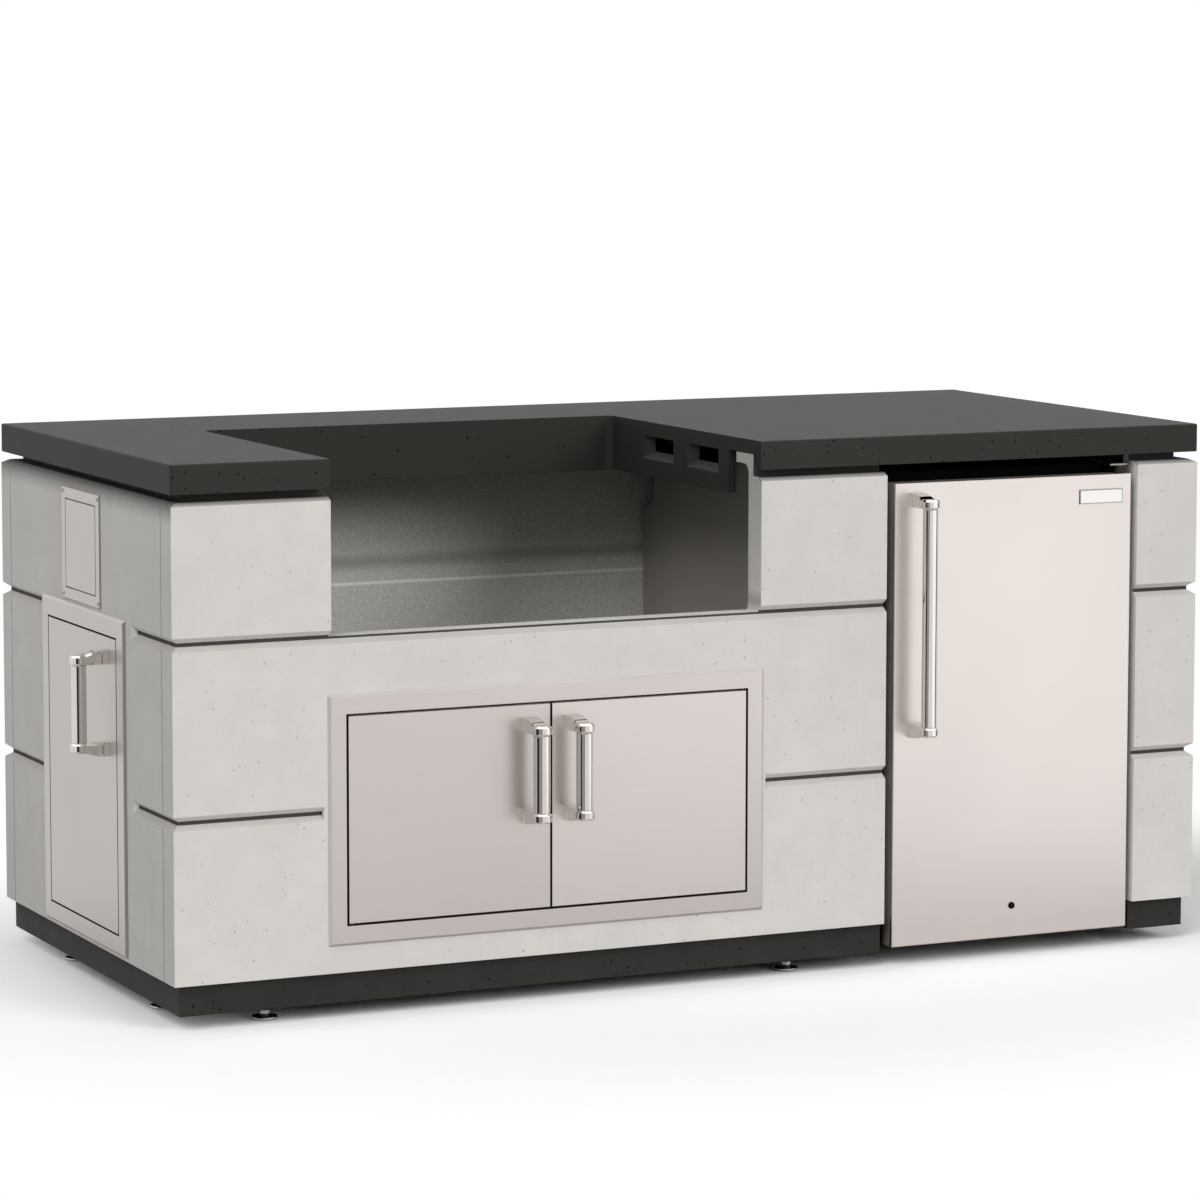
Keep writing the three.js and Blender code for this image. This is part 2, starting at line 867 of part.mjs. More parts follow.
function add_handle(prefix, parent, place, length) {
  const group = new THREE.Group();
  group.position.set(...place);
  const half = length / 2;
  const upper = add(`${prefix}_handle_upper_bracket`, "chrome", bracket_geometry, group);
  upper.position.z = half - bracket_height;
  const lower = add(`${prefix}_handle_lower_bracket`, "chrome", bracket_geometry, group);
  lower.rotation.y = Math.PI;
  lower.position.z = bracket_height - half;
  const bar_half = half - bracket_height - seat;
  add(`${prefix}_handle_bar`, "chrome", to_geometry(rod(bar_radius, -bar_half, bar_half, 24)), group);
  parent.add(group);
}

const front_doors = new THREE.Group();
front_doors.position.set(front_middle, 0, front_middle_height);
island.add(front_doors);
add("front_door_frame", "brushed_steel", to_geometry(door_frame(front_spec)), front_doors);

const leaf_width = (front_spec.field_width - 3 * door_gap) / 2;
const leaf_height = front_spec.field_height - 2 * door_gap;
const leaf_middle = (leaf_width + door_gap) / 2;
const leaf_hinge = leaf_width / 2 - hinge_offset;

for (const [side, sign] of [["left", -1], ["right", 1]]) {
  const leaf = to_geometry(door_leaf(leaf_width, leaf_height, sign * leaf_hinge));
  add(`${side}_door`, "brushed_steel", leaf, front_doors).position.x = sign * leaf_middle;
  add_hinge_pins(`${side}_door`, front_doors, front_spec, sign * (leaf_middle + leaf_hinge));
  add_catch(`${side}_door_catch`, front_doors, front_spec, sign * 2 * catch_width);
  add_handle(`${side}_door`, front_doors, [
    sign * front_handle_from_split,
    -frame_proud - handle_standoff,
    front_handle_centre - front_middle_height,
  ], front_handle_length);
}

const side_door = new THREE.Group();
side_door.position.set(0, side_middle, side_middle_height);
side_door.rotation.z = -Math.PI / 2;
island.add(side_door);
add("side_door_frame", "brushed_steel", to_geometry(door_frame(side_spec)), side_door);

const side_leaf_width = side_spec.field_width - 2 * door_gap;
const side_leaf_hinge = side_leaf_width / 2 - hinge_offset;
const side_leaf = door_leaf(side_leaf_width, side_spec.field_height - 2 * door_gap, -side_leaf_hinge);
add("side_door", "brushed_steel", to_geometry(side_leaf), side_door);
add_hinge_pins("side_door", side_door, side_spec, -side_leaf_hinge);
add_catch("side_door_catch", side_door, side_spec, side_leaf_width / 2 - catch_width);
add_handle("side_door", side_door, [
  side_middle - side_handle_place,
  -frame_proud - handle_standoff,
  side_handle_centre - side_middle_height,
], side_handle_length);

// Cover plate on the left side: a screwed frame with a back lip, and a cover that lies in it

const utility = new THREE.Group();
utility.position.set(0, utility_middle, utility_middle_height);
utility.rotation.z = -Math.PI / 2;
island.add(utility);

function utility_frame() {
  const field = (grow, front, back) => centred_block(
    utility_field_width + 2 * grow,
    utility_field_height + 2 * grow,
    front,
    back,
  );
  const face = face_ring(utility_width, utility_height, utility_proud, utility_bevel);
  const sleeve = field(frame_sheet, -utility_proud / 2, utility_depth);
  const hollow = field(0, -overrun, utility_depth + overrun);
  const lip = field(frame_sheet / 2, seat, seat + frame_sheet);
  const lip_hole = field(-utility_lip, -overrun, overrun);
  return face.add(sleeve).subtract(hollow).add(lip.subtract(lip_hole));
}

function utility_cover() {
  return centred_block(
    utility_field_width - 2 * utility_gap,
    utility_field_height - 2 * utility_gap,
    -utility_proud,
    0,
  );
}

add("utility_frame", "brushed_steel", to_geometry(utility_frame()), utility);
add("utility_cover", "brushed_steel", to_geometry(utility_cover()), utility);

// Fridge cabinet and liner

function liner_outline(grow) {
  return [
    [cabinet_front - overrun, liner_bottom - grow],
    [liner_step_place + grow, liner_bottom - grow],
    [liner_step_place + grow, liner_step_height - grow],
    [liner_back + grow, liner_step_height - grow],
    [liner_back + grow, liner_top + grow],
    [cabinet_front - overrun, liner_top + grow],
  ];
}

// A sheet casing with a front mouth for the liner and a machine recess walled off at the back
function fridge_cabinet() {
  const cabinet_block = (grow) => block(
    [cabinet_left + grow, cabinet_front + grow, cabinet_bottom + grow],
    [cabinet_right - grow, cabinet_back - grow, cabinet_top - grow],
  );
  const mouth = block(
    [liner_left - seat, cabinet_front - overrun, liner_bottom - seat],
    [liner_right + seat, cabinet_front + overrun, liner_top + seat],
  );
  const recess_front = cabinet_back - machine_recess_depth;
  const recess = (grow, back) => block(
    [cabinet_left + machine_side_wall - grow, recess_front - grow, recess_bottom - grow],
    [cabinet_right - machine_side_wall + grow, back, recess_top + grow],
  );
  const bores = fridge_front_feet.map(([x, y]) => rod(
    fridge_foot_stem + stud_play,
    cabinet_bottom - overrun,
    cabinet_bottom + overrun,
    12,
  ).translate([x, y, 0]));
  const rear_feet = fridge_rear_feet.map(([x, y]) => rod(
    fridge_foot_radius,
    0,
    cabinet_bottom + cabinet_skin / 2,
  ).translate([x, y, 0]));
  const shell = cut(cabinet_block(0), [cabinet_block(cabinet_skin), mouth]);
  const casing = shell.add(recess(cabinet_skin, cabinet_back));
  return join([cut(casing, [recess(0, cabinet_back + overrun), ...bores]), ...rear_feet]);
}

function fridge_liner() {
  const outside = run_along_x(liner_outline(0), liner_left, liner_right).intersect(block(
    [liner_left - overrun, cabinet_front, liner_bottom - overrun],
    [liner_right + overrun, cabinet_back, cabinet_top],
  ));
  const inside = run_along_x(
    liner_outline(-liner_sheet),
    liner_left + liner_sheet,
    liner_right - liner_sheet,
  );
  const runners = runner_heights.flatMap((height) => [
    [liner_left + liner_sheet / 2, liner_left + liner_sheet + runner_reach],
    [liner_right - liner_sheet - runner_reach, liner_right - liner_sheet / 2],
  ].map(([left, right]) => block(
    [left, runner_front, height - runner_thickness],
    [right, liner_back - liner_sheet / 2, height],
  )));
  return join([outside.subtract(inside), ...runners]);
}

const fridge_foot_xs = [cabinet_left + fridge_foot_inset, cabinet_right - fridge_foot_inset];
const fridge_front_feet = fridge_foot_xs.map((x) => [x, cabinet_front + fridge_front_foot_inset]);
const fridge_rear_feet = fridge_foot_xs.map((x) => [x, cabinet_back - fridge_foot_inset]);

function fridge_foot() {
  return turned([
    [0, 0],
    [fridge_foot_radius, 0],
    [fridge_foot_radius, fridge_foot_pad],
    [fridge_foot_stem, fridge_foot_pad],
    [fridge_foot_stem, cabinet_bottom + fridge_foot_bore - seat],
    [0, cabinet_bottom + fridge_foot_bore - seat],
  ], 16);
}

// A wire-look shelf: one plate with slots from front to back, resting on the runners
function fridge_shelf() {
  const left = liner_left + liner_sheet + seat;
  const right = liner_right - liner_sheet - seat;
  const back = liner_back - liner_sheet - seat;
  const plate = block([left, shelf_front, seat], [right, back, shelf_thickness]);
  const pitch = (right - left - 2 * shelf_rim + shelf_bar) / shelf_slot_count;
  const slots = Array.from({ length: shelf_slot_count }, (unused, number) => block(
    [left + shelf_rim + number * pitch, shelf_front + shelf_rim, -overrun],
    [left + shelf_rim + (number + 1) * pitch - shelf_bar, back - shelf_rim, overrun],
  ));
  return cut(plate, slots);
}

function fridge_compressor() {
  const share_rows = [
    [0.62, 0], [0.62, 0.05], [1, 0.12], [1, 0.55], [0.93, 0.75], [0.68, 0.92], [0, 1],
  ];
  const can = turned([
    [0, compressor_foot_height],
    ...share_rows.map(([radius, height]) => [
      compressor_radius * radius,
      compressor_foot_height + (compressor_height - compressor_foot_height) * height,
    ]),
  ], 20);
  const foot = block(
    [-compressor_radius, -compressor_radius, 0],
    [compressor_radius, compressor_radius, compressor_foot_height + seat],
  );
  return can.add(foot);
}

function thermostat_knob() {
  const knob = rod(knob_radius, 0, knob_height, 20);
  const grip = block(
    [-knob_grip_half_width, -knob_radius, knob_height / 2],
    [knob_grip_half_width, knob_radius, knob_height + knob_grip_rise],
  );
  return knob.add(grip);
}

add("fridge_cabinet", "cabinet_paint", to_geometry(fridge_cabinet()));
add("fridge_liner", "liner_plastic", to_geometry(fridge_liner()));

const fridge_foot_geometry = to_geometry(fridge_foot());
fridge_front_feet.forEach(([x, y], number) => {
  add(`fridge_foot_${number + 1}`, "black_metal", fridge_foot_geometry).position.set(x, y, 0);
});

const shelf_geometry = to_geometry(fridge_shelf());
["lower", "upper"].forEach((name, number) => {
  add(`fridge_shelf_${name}`, "chrome", shelf_geometry).position.z = runner_heights[number];
});

add("fridge_compressor", "black_metal", to_geometry(fridge_compressor())).position.set(
  (cabinet_left + cabinet_right) / 2,
  cabinet_back - machine_recess_depth / 2,
  recess_bottom + seat,
);

const knob = add("thermostat_knob", "liner_plastic", to_geometry(thermostat_knob()));
knob.rotation.y = -Math.PI / 2;
knob.position.set(liner_right - liner_sheet - seat, knob_place_y, knob_place_z);

// Fridge door with its liner, gasket, handle, lock and plate

// The door is a sheet pan, open at the back inside a return all round, which its liner closes
function fridge_door() {
  const round = fridge_door_round;
  const ring = (grow, y) => [
    [fridge_door_left + grow, y, fridge_door_bottom + grow],
    [fridge_door_right - grow, y, fridge_door_bottom + grow],
    [fridge_door_right - grow, y, fridge_door_top - grow],
    [fridge_door_left + grow, y, fridge_door_top - grow],
  ];
  const body = skin([
    ring(0, fridge_door_back),
    ring(0, fridge_door_front + round),
    ring(round * (1 - Math.SQRT1_2), fridge_door_front + round * (1 - Math.SQRT1_2)),
    ring(round, fridge_door_front),
  ]);
  const sheet = fridge_door_skin;
  const hollow = skin([
    ring(sheet, fridge_door_back - sheet),
    ring(sheet, fridge_door_front + sheet),
  ]);
  const mouth = skin([
    ring(fridge_door_return, fridge_door_back + overrun),
    ring(fridge_door_return, fridge_door_front + sheet),
  ]);
  const lock_bore = rod(lock_radius + pin_play, -overrun, lock_length + seat, 16)
    .rotate([-90, 0, 0])
    .translate([lock_place, fridge_door_front, lock_height]);
  const pin_bore = (low, high) => rod(fridge_pin_radius + pin_play, low, high, 12)
    .translate([fridge_pin_x, fridge_pin_y, 0]);
  const depth = fridge_pin_length + 2 * seat;
  return cut(body, [
    hollow,
    mouth,
    lock_bore,
    pin_bore(fridge_door_bottom - overrun, fridge_door_bottom + depth),
    pin_bore(fridge_door_top - depth, fridge_door_top + overrun),
  ]);
}

function fridge_door_liner() {
  const front = fridge_door_back + seat;
  const back = front + door_liner_sheet;
  const box_inside = (inset, low, high) => block(
    [fridge_door_left + inset, low, fridge_door_bottom + inset],
    [fridge_door_right - inset, high, fridge_door_top - inset],
  );
  const sheet = box_inside(door_liner_inset, front, back);
  const dike = box_inside(dike_inset, front, back + dike_depth).subtract(
    box_inside(dike_inset + dike_width, front - overrun, back + overrun + dike_depth),
  );
  const left = fridge_door_left + dike_inset + dike_width / 2;
  const right = fridge_door_right - dike_inset - dike_width / 2;
  const trays = door_tray_heights.flatMap((height) => [
    block(
      [left, back - door_liner_sheet / 2, height],
      [right, back + door_tray_reach, height + door_tray_sheet],
    ),
    block(
      [left, back + door_tray_reach - door_tray_sheet, height],
      [right, back + door_tray_reach, height + door_tray_lip],
    ),
  ]);
  return join([sheet, dike, ...trays]);
}

function fridge_gasket() {
  const front = fridge_door_back + seat + door_liner_sheet + seat;
  const back = Math.min(front + gasket_thickness, cabinet_front - seat);
  const ring = (inset, low, high) => block(
    [fridge_door_left + inset, low, fridge_door_bottom + inset],
    [fridge_door_right - inset, high, fridge_door_top - inset],
  );
  return ring(gasket_inset, front, back).subtract(
    ring(gasket_inset + gasket_width, front - overrun, back + overrun),
  );
}

// A hinge: a plate on the cabinet, a bush and a pin that enters the door
function fridge_hinge(plate_low, plate_high, bush_end, pin_end) {
  const plate = block(
    [fridge_pin_x - hinge_plate_width / 2, fridge_pin_y - hinge_bush_radius, plate_low],
    [cabinet_right, cabinet_front + hinge_plate_reach, plate_high],
  );
  const middle = (plate_low + plate_high) / 2;
  const pillar = (radius, end) => rod(radius, Math.min(middle, end), Math.max(middle, end), 14)
    .translate([fridge_pin_x, fridge_pin_y, 0]);
  return join([plate, pillar(hinge_bush_radius, bush_end), pillar(fridge_pin_radius, pin_end)]);
}

function fridge_lock() {
  return turned([
    [0, -lock_flange],
    [lock_flange_radius, -lock_flange],
    [lock_flange_radius, -seat],
    [lock_radius, -seat],
    [lock_radius, lock_length],
    [0, lock_length],
  ], 16);
}

add("fridge_door", "brushed_steel", to_geometry(fridge_door()));
add("fridge_door_liner", "liner_plastic", to_geometry(fridge_door_liner()));
add("fridge_gasket", "gasket_rubber", to_geometry(fridge_gasket()));
add("fridge_upper_hinge", "brushed_steel", to_geometry(fridge_hinge(
  cabinet_top + seat,
  cabinet_top + seat + hinge_plate,
  fridge_door_top + seat,
  fridge_door_top - fridge_pin_length,
)));
add("fridge_lower_hinge", "black_metal", to_geometry(fridge_hinge(
  cabinet_bottom - seat - hinge_plate,
  cabinet_bottom - seat,
  fridge_door_bottom - seat,
  fridge_door_bottom + fridge_pin_length,
)));

const lock = add("fridge_lock", "black_metal", to_geometry(fridge_lock()));
lock.rotation.x = -Math.PI / 2;
lock.position.set(lock_place, fridge_door_front, lock_height);

add("badge_plate", "brushed_steel", to_geometry(block(
  [plate_place - plate_width / 2, fridge_door_front - seat - plate_thickness, plate_height - plate_tall / 2],
  [plate_place + plate_width / 2, fridge_door_front - seat, plate_height + plate_tall / 2],
)));

add_handle("fridge", island, [
  fridge_handle_place,
  fridge_door_front - handle_standoff,
  fridge_handle_centre,
], fridge_handle_length);

// The bounding box reaches from the foremost and leftmost handle caps to the back and right faces
const handle_reach = frame_proud + handle_standoff + cap_radius;
const part = new THREE.Group();
part.add(island);
island.position.set((handle_reach - island_length) / 2, (handle_reach - island_depth) / 2, 0);

export default part;
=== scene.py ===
import math
import random

import bmesh
import bpy
from mathutils import Matrix, Vector


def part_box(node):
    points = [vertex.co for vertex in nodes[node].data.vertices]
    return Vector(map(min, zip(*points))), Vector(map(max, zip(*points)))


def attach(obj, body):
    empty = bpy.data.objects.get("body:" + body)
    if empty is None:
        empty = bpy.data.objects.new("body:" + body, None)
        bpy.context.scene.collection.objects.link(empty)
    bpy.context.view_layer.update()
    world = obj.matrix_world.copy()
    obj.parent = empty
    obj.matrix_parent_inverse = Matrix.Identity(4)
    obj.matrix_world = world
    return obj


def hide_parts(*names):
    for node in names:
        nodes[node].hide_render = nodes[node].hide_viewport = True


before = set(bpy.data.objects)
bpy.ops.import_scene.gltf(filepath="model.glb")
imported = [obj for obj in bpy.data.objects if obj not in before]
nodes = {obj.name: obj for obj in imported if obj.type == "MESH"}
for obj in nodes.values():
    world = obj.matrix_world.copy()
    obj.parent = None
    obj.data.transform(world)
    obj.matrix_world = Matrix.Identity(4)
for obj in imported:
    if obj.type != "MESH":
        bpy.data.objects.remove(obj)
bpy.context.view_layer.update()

scene = bpy.context.scene
scene.view_settings.view_transform = "Standard"
draw = random.Random(7)

# The camera, solved from the photograph's edges, in the CAD frame

CAMERA_PLACE = (-3.381975, -7.263375, 1.5856)
CAMERA_YAW = 24.875
CAMERA_PITCH = 6.143
CAMERA_ROLL = -0.04
CAMERA_LENS = 139.0
CAMERA_SENSOR = 36
CAMERA_SHIFT = (0.0139, -0.0542)
CAMERA_REACH = 100


def set_camera():
    data = bpy.data.cameras.new("camera")
    data.lens = CAMERA_LENS
    data.sensor_width = CAMERA_SENSOR
    data.shift_x, data.shift_y = CAMERA_SHIFT
    data.clip_end = CAMERA_REACH
    camera = bpy.data.objects.new("camera", data)
    camera.location = CAMERA_PLACE
    angles = (90 - CAMERA_PITCH, CAMERA_ROLL, -CAMERA_YAW)
    camera.rotation_euler = [math.radians(angle) for angle in angles]
    scene.collection.objects.link(camera)
    scene.camera = camera


set_camera()

# Materials

PIT_CELL = 0.011
PIT_SIZES = (0.45, 1.25)  # the smallest and the largest, as shares of their radius
PIT_WANDER = 420.0
STREAK_STRETCH = (14, 14, 1.2)
# Painted light on the bay's back wall: where the painted shade towards the counter runs, and the
# heights of a soft painted shade line and a fine painted highlight line
BAY_SHADE_HEIGHTS = (0.6, 0.84)
SOFT_SHADE_LINE_HEIGHT = 0.645
EDGE_HIGHLIGHT_HEIGHT = 0.607
BRUSHING = (1.5, 1.5, 260.0)
WIPING = (6, 6, 2)


def tone(red, green, blue):
    """An sRGB colour, 0 to 255, as the linear one that sockets take."""
    def linear(value):
        share = value / 255
        return share / 12.92 if share <= 0.04045 else ((share + 0.055) / 1.055) ** 2.4
    return (linear(red), linear(green), linear(blue), 1.0)


def shade(colour, factor):
    return tuple(min(1.0, part * factor) for part in colour[:3]) + (1.0,)


class Nodes:
    """Short calls that add nodes to a tree. Any value may be another node's output."""

    def __init__(self, tree):
        self.tree = tree

    def put(self, value, socket):
        if isinstance(value, bpy.types.NodeSocket):
            self.tree.links.new(value, socket)
        else:
            socket.default_value = value

    def node(self, kind, inputs=(), **settings):
        made = self.tree.nodes.new(kind)
        for key, value in settings.items():
            setattr(made, key, value)
        for key, value in dict(inputs).items():
            self.put(value, made.inputs[key])
        return made

    def sums(self, how, a, b=0.0):
        return self.node("ShaderNodeMath", {0: a, 1: b}, operation=how).outputs[0]

    def between(self, value, low, high, out_low=0.0, out_high=1.0):
        """Takes low to high over to out_low to out_high, and keeps to that range."""
        return self.node("ShaderNodeMapRange", {
            "Value": value, "From Min": low, "From Max": high,
            "To Min": out_low, "To Max": out_high,
        }).outputs[0]

    def pick(self, share, a, b):
        """A number between a and b."""
        return self.node("ShaderNodeMix", {0: share, 2: a, 3: b}, data_type="FLOAT").outputs[0]

    def mix(self, share, a, b):
        """A colour between a and b."""
        return self.node("ShaderNodeMix", {0: share, 6: a, 7: b}, data_type="RGBA").outputs[2]

    def parts(self, vector):
        return self.node("ShaderNodeSeparateXYZ", {0: vector}).outputs


class Graph(Nodes):
    """A material with its Principled shader. In the names of its sockets _ is a space."""

    def __init__(self, name, **sockets):
        self.material = bpy.data.materials.new(name)
        self.material.use_nodes = True
        super().__init__(self.material.node_tree)
        self.shader = self.tree.nodes["Principled BSDF"]
        for socket, value in sockets.items():
            self.shader.inputs[socket.replace("_", " ")].default_value = value

    def feed(self, socket, value):
        self.tree.links.new(value, self.shader.inputs[socket])

    def place(self, stretch=None):
        """The point on the object in metres, stretched if asked."""
        point = self.node("ShaderNodeTexCoord").outputs["Object"]
        if stretch is None:
            return point
        return self.node("ShaderNodeMapping", {"Vector": point, "Scale": stretch}).outputs[0]

    def noise(self, place, scale, detail=3.0, rough=0.55, twist=0.0):
        return self.node("ShaderNodeTexNoise", {
            "Vector": place, "Scale": scale, "Detail": detail, "Roughness": rough,
            "Distortion": twist,
        }).outputs[0]

    def bump(self, height, depth):
        made = self.node("ShaderNodeBump", {"Height": height, "Distance": depth, "Strength": 1.0})
        self.feed("Normal", made.outputs[0])

    def drift(self, field, colour, change):
        """The colour, a share darker to a share lighter, as a noise field goes."""
        return self.mix(self.between(field, 0.3, 0.7),
                        shade(colour, 1 - change), shade(colour, 1 + change))

    def pits(self, place, cell, share, radius):
        """1 in round pits of about this radius, in a share of the cells, and 0 between them."""
        wander = self.node("ShaderNodeTexNoise", {"Vector": place, "Scale": PIT_WANDER}).outputs[1]
        shift = self.node("ShaderNodeVectorMath", {0: wander, "Scale": radius}, operation="SCALE")
        moved = self.node("ShaderNodeVectorMath", {0: place, 1: shift.outputs[0]}, operation="ADD")
        cells = self.node("ShaderNodeTexVoronoi", {"Vector": moved.outputs[0], "Scale": 1 / cell})
        chance = self.node("ShaderNodeSeparateColor", {0: cells.outputs["Color"]}).outputs
        here = self.sums("LESS_THAN", chance[0], share)
        least, most = PIT_SIZES
        reach = self.between(chance[1], 0, 1, least * radius / cell, most * radius / cell)
        from_centre = self.sums("DIVIDE", cells.outputs["Distance"], reach)
        return self.sums("MULTIPLY", here, self.between(from_centre, 0.5, 1.0, 1.0, 0.0))


def paint_bay_shade(graph, height, colour, base):
    """The inside of the back wall: painted shade towards the counter, a soft painted shade line and
    a fine painted highlight line.
    """
    def beside(level):
        return graph.sums("ABSOLUTE", graph.sums("SUBTRACT", height, level))

    upper = graph.between(height, *BAY_SHADE_HEIGHTS, 0.0, 0.53)
    base = graph.mix(upper, base, shade(colour, 0.3))
    soft_shade_line = graph.between(beside(SOFT_SHADE_LINE_HEIGHT), 0.003, 0.018, 0.6, 0.0)
    base = graph.mix(soft_shade_line, base, shade(colour, 0.35))
    edge_highlight = graph.between(beside(EDGE_HIGHLIGHT_HEIGHT), 0.0012, 0.0042, 0.9, 0.0)
    return graph.mix(edge_highlight, base, shade(colour, 1.7))


def concrete(name, rgb, rough, drift=0.06, sand=0.25, mottle=0.15, streak=0.0,
             pit_shade=0.5, hole_share=0.05, hole_size=0.0017, grain_depth=0.0004,
             gloss=0.5, gloss_change=0.05, painted_bay_shade=False, painted_lip_shadow=None):
    """Cast concrete: slow drifts of tone, blotches, sand grain, streaks and sparse pinholes.

    drift is the change of tone, and sand, mottle, streak and pit_shade are how strongly each shows;
    pit_shade is painted shade in the pinholes.
    painted_lip_shadow gives two heights, between which the surface turns dark: a painted shadow
    under the counter's lip.
    """
    graph = Graph(name)
    colour = tone(*rgb)
    place = graph.place()
    cloud = graph.noise(place, 2.6, 4.0, 0.6, 0.4)
    blotch = graph.noise(place, 17.0, 4.0, 0.65)
    grain = graph.noise(place, 340.0, 2.0, 0.6)
    holes = graph.pits(place, PIT_CELL, hole_share, hole_size)
    blotches = graph.between(blotch, 0.35, 0.65, 0.0, mottle)
    shown = graph.mix(blotches, graph.drift(cloud, colour, drift), shade(colour, 1 - 1.6 * drift))
    shown = graph.mix(graph.between(grain, 0.3, 0.75, 0.0, sand), shown, shade(colour, 0.72))
    # painted shade in the pinholes
    shown = graph.mix(graph.sums("MULTIPLY", holes, pit_shade), shown, shade(colour, 0.25))
    if streak:
        runs = graph.noise(graph.place(STREAK_STRETCH), 2.0, 3.0, 0.6)
        shown = graph.mix(graph.between(runs, 0.38, 0.68, 0.0, streak), shown, shade(colour, 0.8))
    # painted shade and a painted highlight line on the inside of the back wall
    if painted_bay_shade:
        shown = paint_bay_shade(graph, graph.parts(place)[2], colour, shown)
    # painted shadow under the counter's lip
    if painted_lip_shadow:
        fade = graph.sums("POWER", graph.between(graph.parts(place)[2], *painted_lip_shadow), 1.4)
        shown = graph.mix(graph.sums("MULTIPLY", fade, 0.85), shown, shade(colour, 0.06))
    graph.feed("Base Color", shown)
    graph.feed("Roughness", graph.between(blotch, 0.3, 0.7, rough - gloss_change,
                                          rough + gloss_change))
    graph.feed("Specular IOR Level", graph.between(holes, 0, 1, gloss, 0.0))
    graph.bump(graph.sums("SUBTRACT", graph.sums("MULTIPLY", grain, 0.5), holes), grain_depth)
    return graph.material


def brushed(name, rgb, rough, change=0.03):
    """Brushed steel: fine lines along the brushing, and slow changes of gloss."""
    graph = Graph(name, Metallic=1.0)
    colour = tone(*rgb)
    lines = graph.noise(graph.place(BRUSHING), 3.0, 4.0, 0.7)
    cloud = graph.noise(graph.place(), 3.5, 2.0)
    clouds = graph.between(cloud, 0.3, 0.7, 0.0, 0.5)
    graph.feed("Base Color", graph.mix(
        clouds, graph.drift(lines, colour, change), shade(colour, 1 - 1.2 * change)))
    both = graph.sums("ADD", graph.sums("MULTIPLY", lines, 0.6), graph.sums("MULTIPLY", cloud, 0.4))
    graph.feed("Roughness", graph.between(both, 0.3, 0.7, rough - 0.04, rough + 0.05))
    graph.bump(lines, 0.00002)
    return graph.material


def polished(name, rgb, rough):
    """Plated metal with faint wipe marks."""
    graph = Graph(name, Metallic=1.0)
    colour = tone(*rgb)
    smear = graph.noise(graph.place(WIPING), 9.0, 3.0)
    graph.feed("Roughness", graph.between(smear, 0.3, 0.7, rough, rough + 0.05))
    graph.feed("Base Color", graph.mix(
        graph.between(smear, 0.3, 0.7), shade(colour, 0.96), colour))
    return graph.material


def coated(name, rgb, rough, change=0.05, grain=500.0, depth=0.00005, **sockets):
    """Paint, plastic, rubber or sheet: a fine grain and slight drifts of tone."""
    graph = Graph(name, **sockets)
    place = graph.place()
    cloud = graph.noise(place, 5.0, 3.0)
    peel = graph.noise(place, grain, 2.0)
    graph.feed("Base Color", graph.drift(cloud, tone(*rgb), change))
    graph.feed("Roughness", graph.between(peel, 0.3, 0.7, rough - 0.05, rough + 0.05))
    graph.bump(peel, depth)
    return graph.material


COUNTER = {"pit_shade": 0.9, "gloss": 0.2, "gloss_change": 0.015}

light_concrete = concrete("light_concrete", (221, 217, 212), 0.86, drift=0.05, sand=0.175,
                          mottle=0.6, streak=0.1, pit_shade=0.45, hole_share=0.1, hole_size=0.0022)
# the left faces: a darker copy of light_concrete, painted shade, with a painted shadow under the
# lip
left_shaded_concrete = concrete("left_shaded_concrete", (213, 211, 207), 0.86, drift=0.05, sand=0.15,
                         mottle=0.55, streak=0.12, hole_share=0.06, hole_size=0.0019,
                         painted_lip_shadow=(0.815, 0.85))
# the top slope under the counter's lip, with a painted shadow at its top
shoulder_shaded_concrete = concrete("shoulder_shaded_concrete", (220, 216, 211), 0.86, drift=0.035, sand=0.15,
                             pit_shade=0.3, painted_lip_shadow=(0.839, 0.8525))
shaded_concrete = concrete("shaded_concrete", (196, 191, 187), 0.88)
# the bevels at the seams between panels: painted shade
seam_shade_concrete = concrete("seam_shade_concrete", (120, 118, 114), 0.88, pit_shade=0.2)
# cut ends and chamfers that face down: raw cut concrete, painted lighter than the finished face
# (painted light)
cut_lit_concrete = concrete("cut_lit_concrete", (243, 241, 236), 0.9, drift=0.04, sand=0.2, pit_shade=0.3)
# the raw inside of the walls, with painted shade and a painted highlight line
raw_shaded_concrete = concrete("raw_shaded_concrete", (238, 235, 229), 0.8, drift=0.08, sand=1.5,
                        pit_shade=0.7, hole_share=0.12, grain_depth=0.0018, painted_bay_shade=True)
# dark paint in the walls' grooves and on the riser; painted shade in the fridge door's reveal and
# the key slot
groove_paint_and_shade = concrete("groove_paint_and_shade", (64, 63, 60), 0.85, drift=0.08, sand=0.2, pit_shade=0.2)
dark_concrete = concrete("dark_concrete", (48, 47, 44), 0.64, drift=0.05,
                         hole_share=0.07, hole_size=0.0024, **COUNTER)
lip_concrete = concrete("lip_concrete", (48, 47, 44), 0.64, drift=0.05,
                        hole_share=0.26, hole_size=0.0024, **COUNTER)
# the counter's right apron inside the cut-out: a darker copy of the counter's concrete, painted
# shade
apron_shaded_concrete = concrete("apron_shaded_concrete", (37, 36, 33), 0.7, drift=0.08,
                          hole_share=0.1, hole_size=0.0022, **COUNTER)
base_concrete = concrete("base_concrete", (40, 39, 36), 0.8, drift=0.1, sand=0.4,
                         pit_shade=0.85, hole_share=0.16, hole_size=0.0022)
floor_board = coated("floor_board", (143, 139, 132), 0.85, change=0.08, grain=240.0, depth=0.0002)
door_steel = brushed("door_steel", (207, 199, 195), 0.3)
# a lighter copy of door_steel for the right leaf: painted light
right_door_lit_steel = brushed("right_door_lit_steel", (214, 206, 202), 0.3)
fridge_steel = brushed("fridge_steel", (220, 212, 208), 0.32, change=0.018)
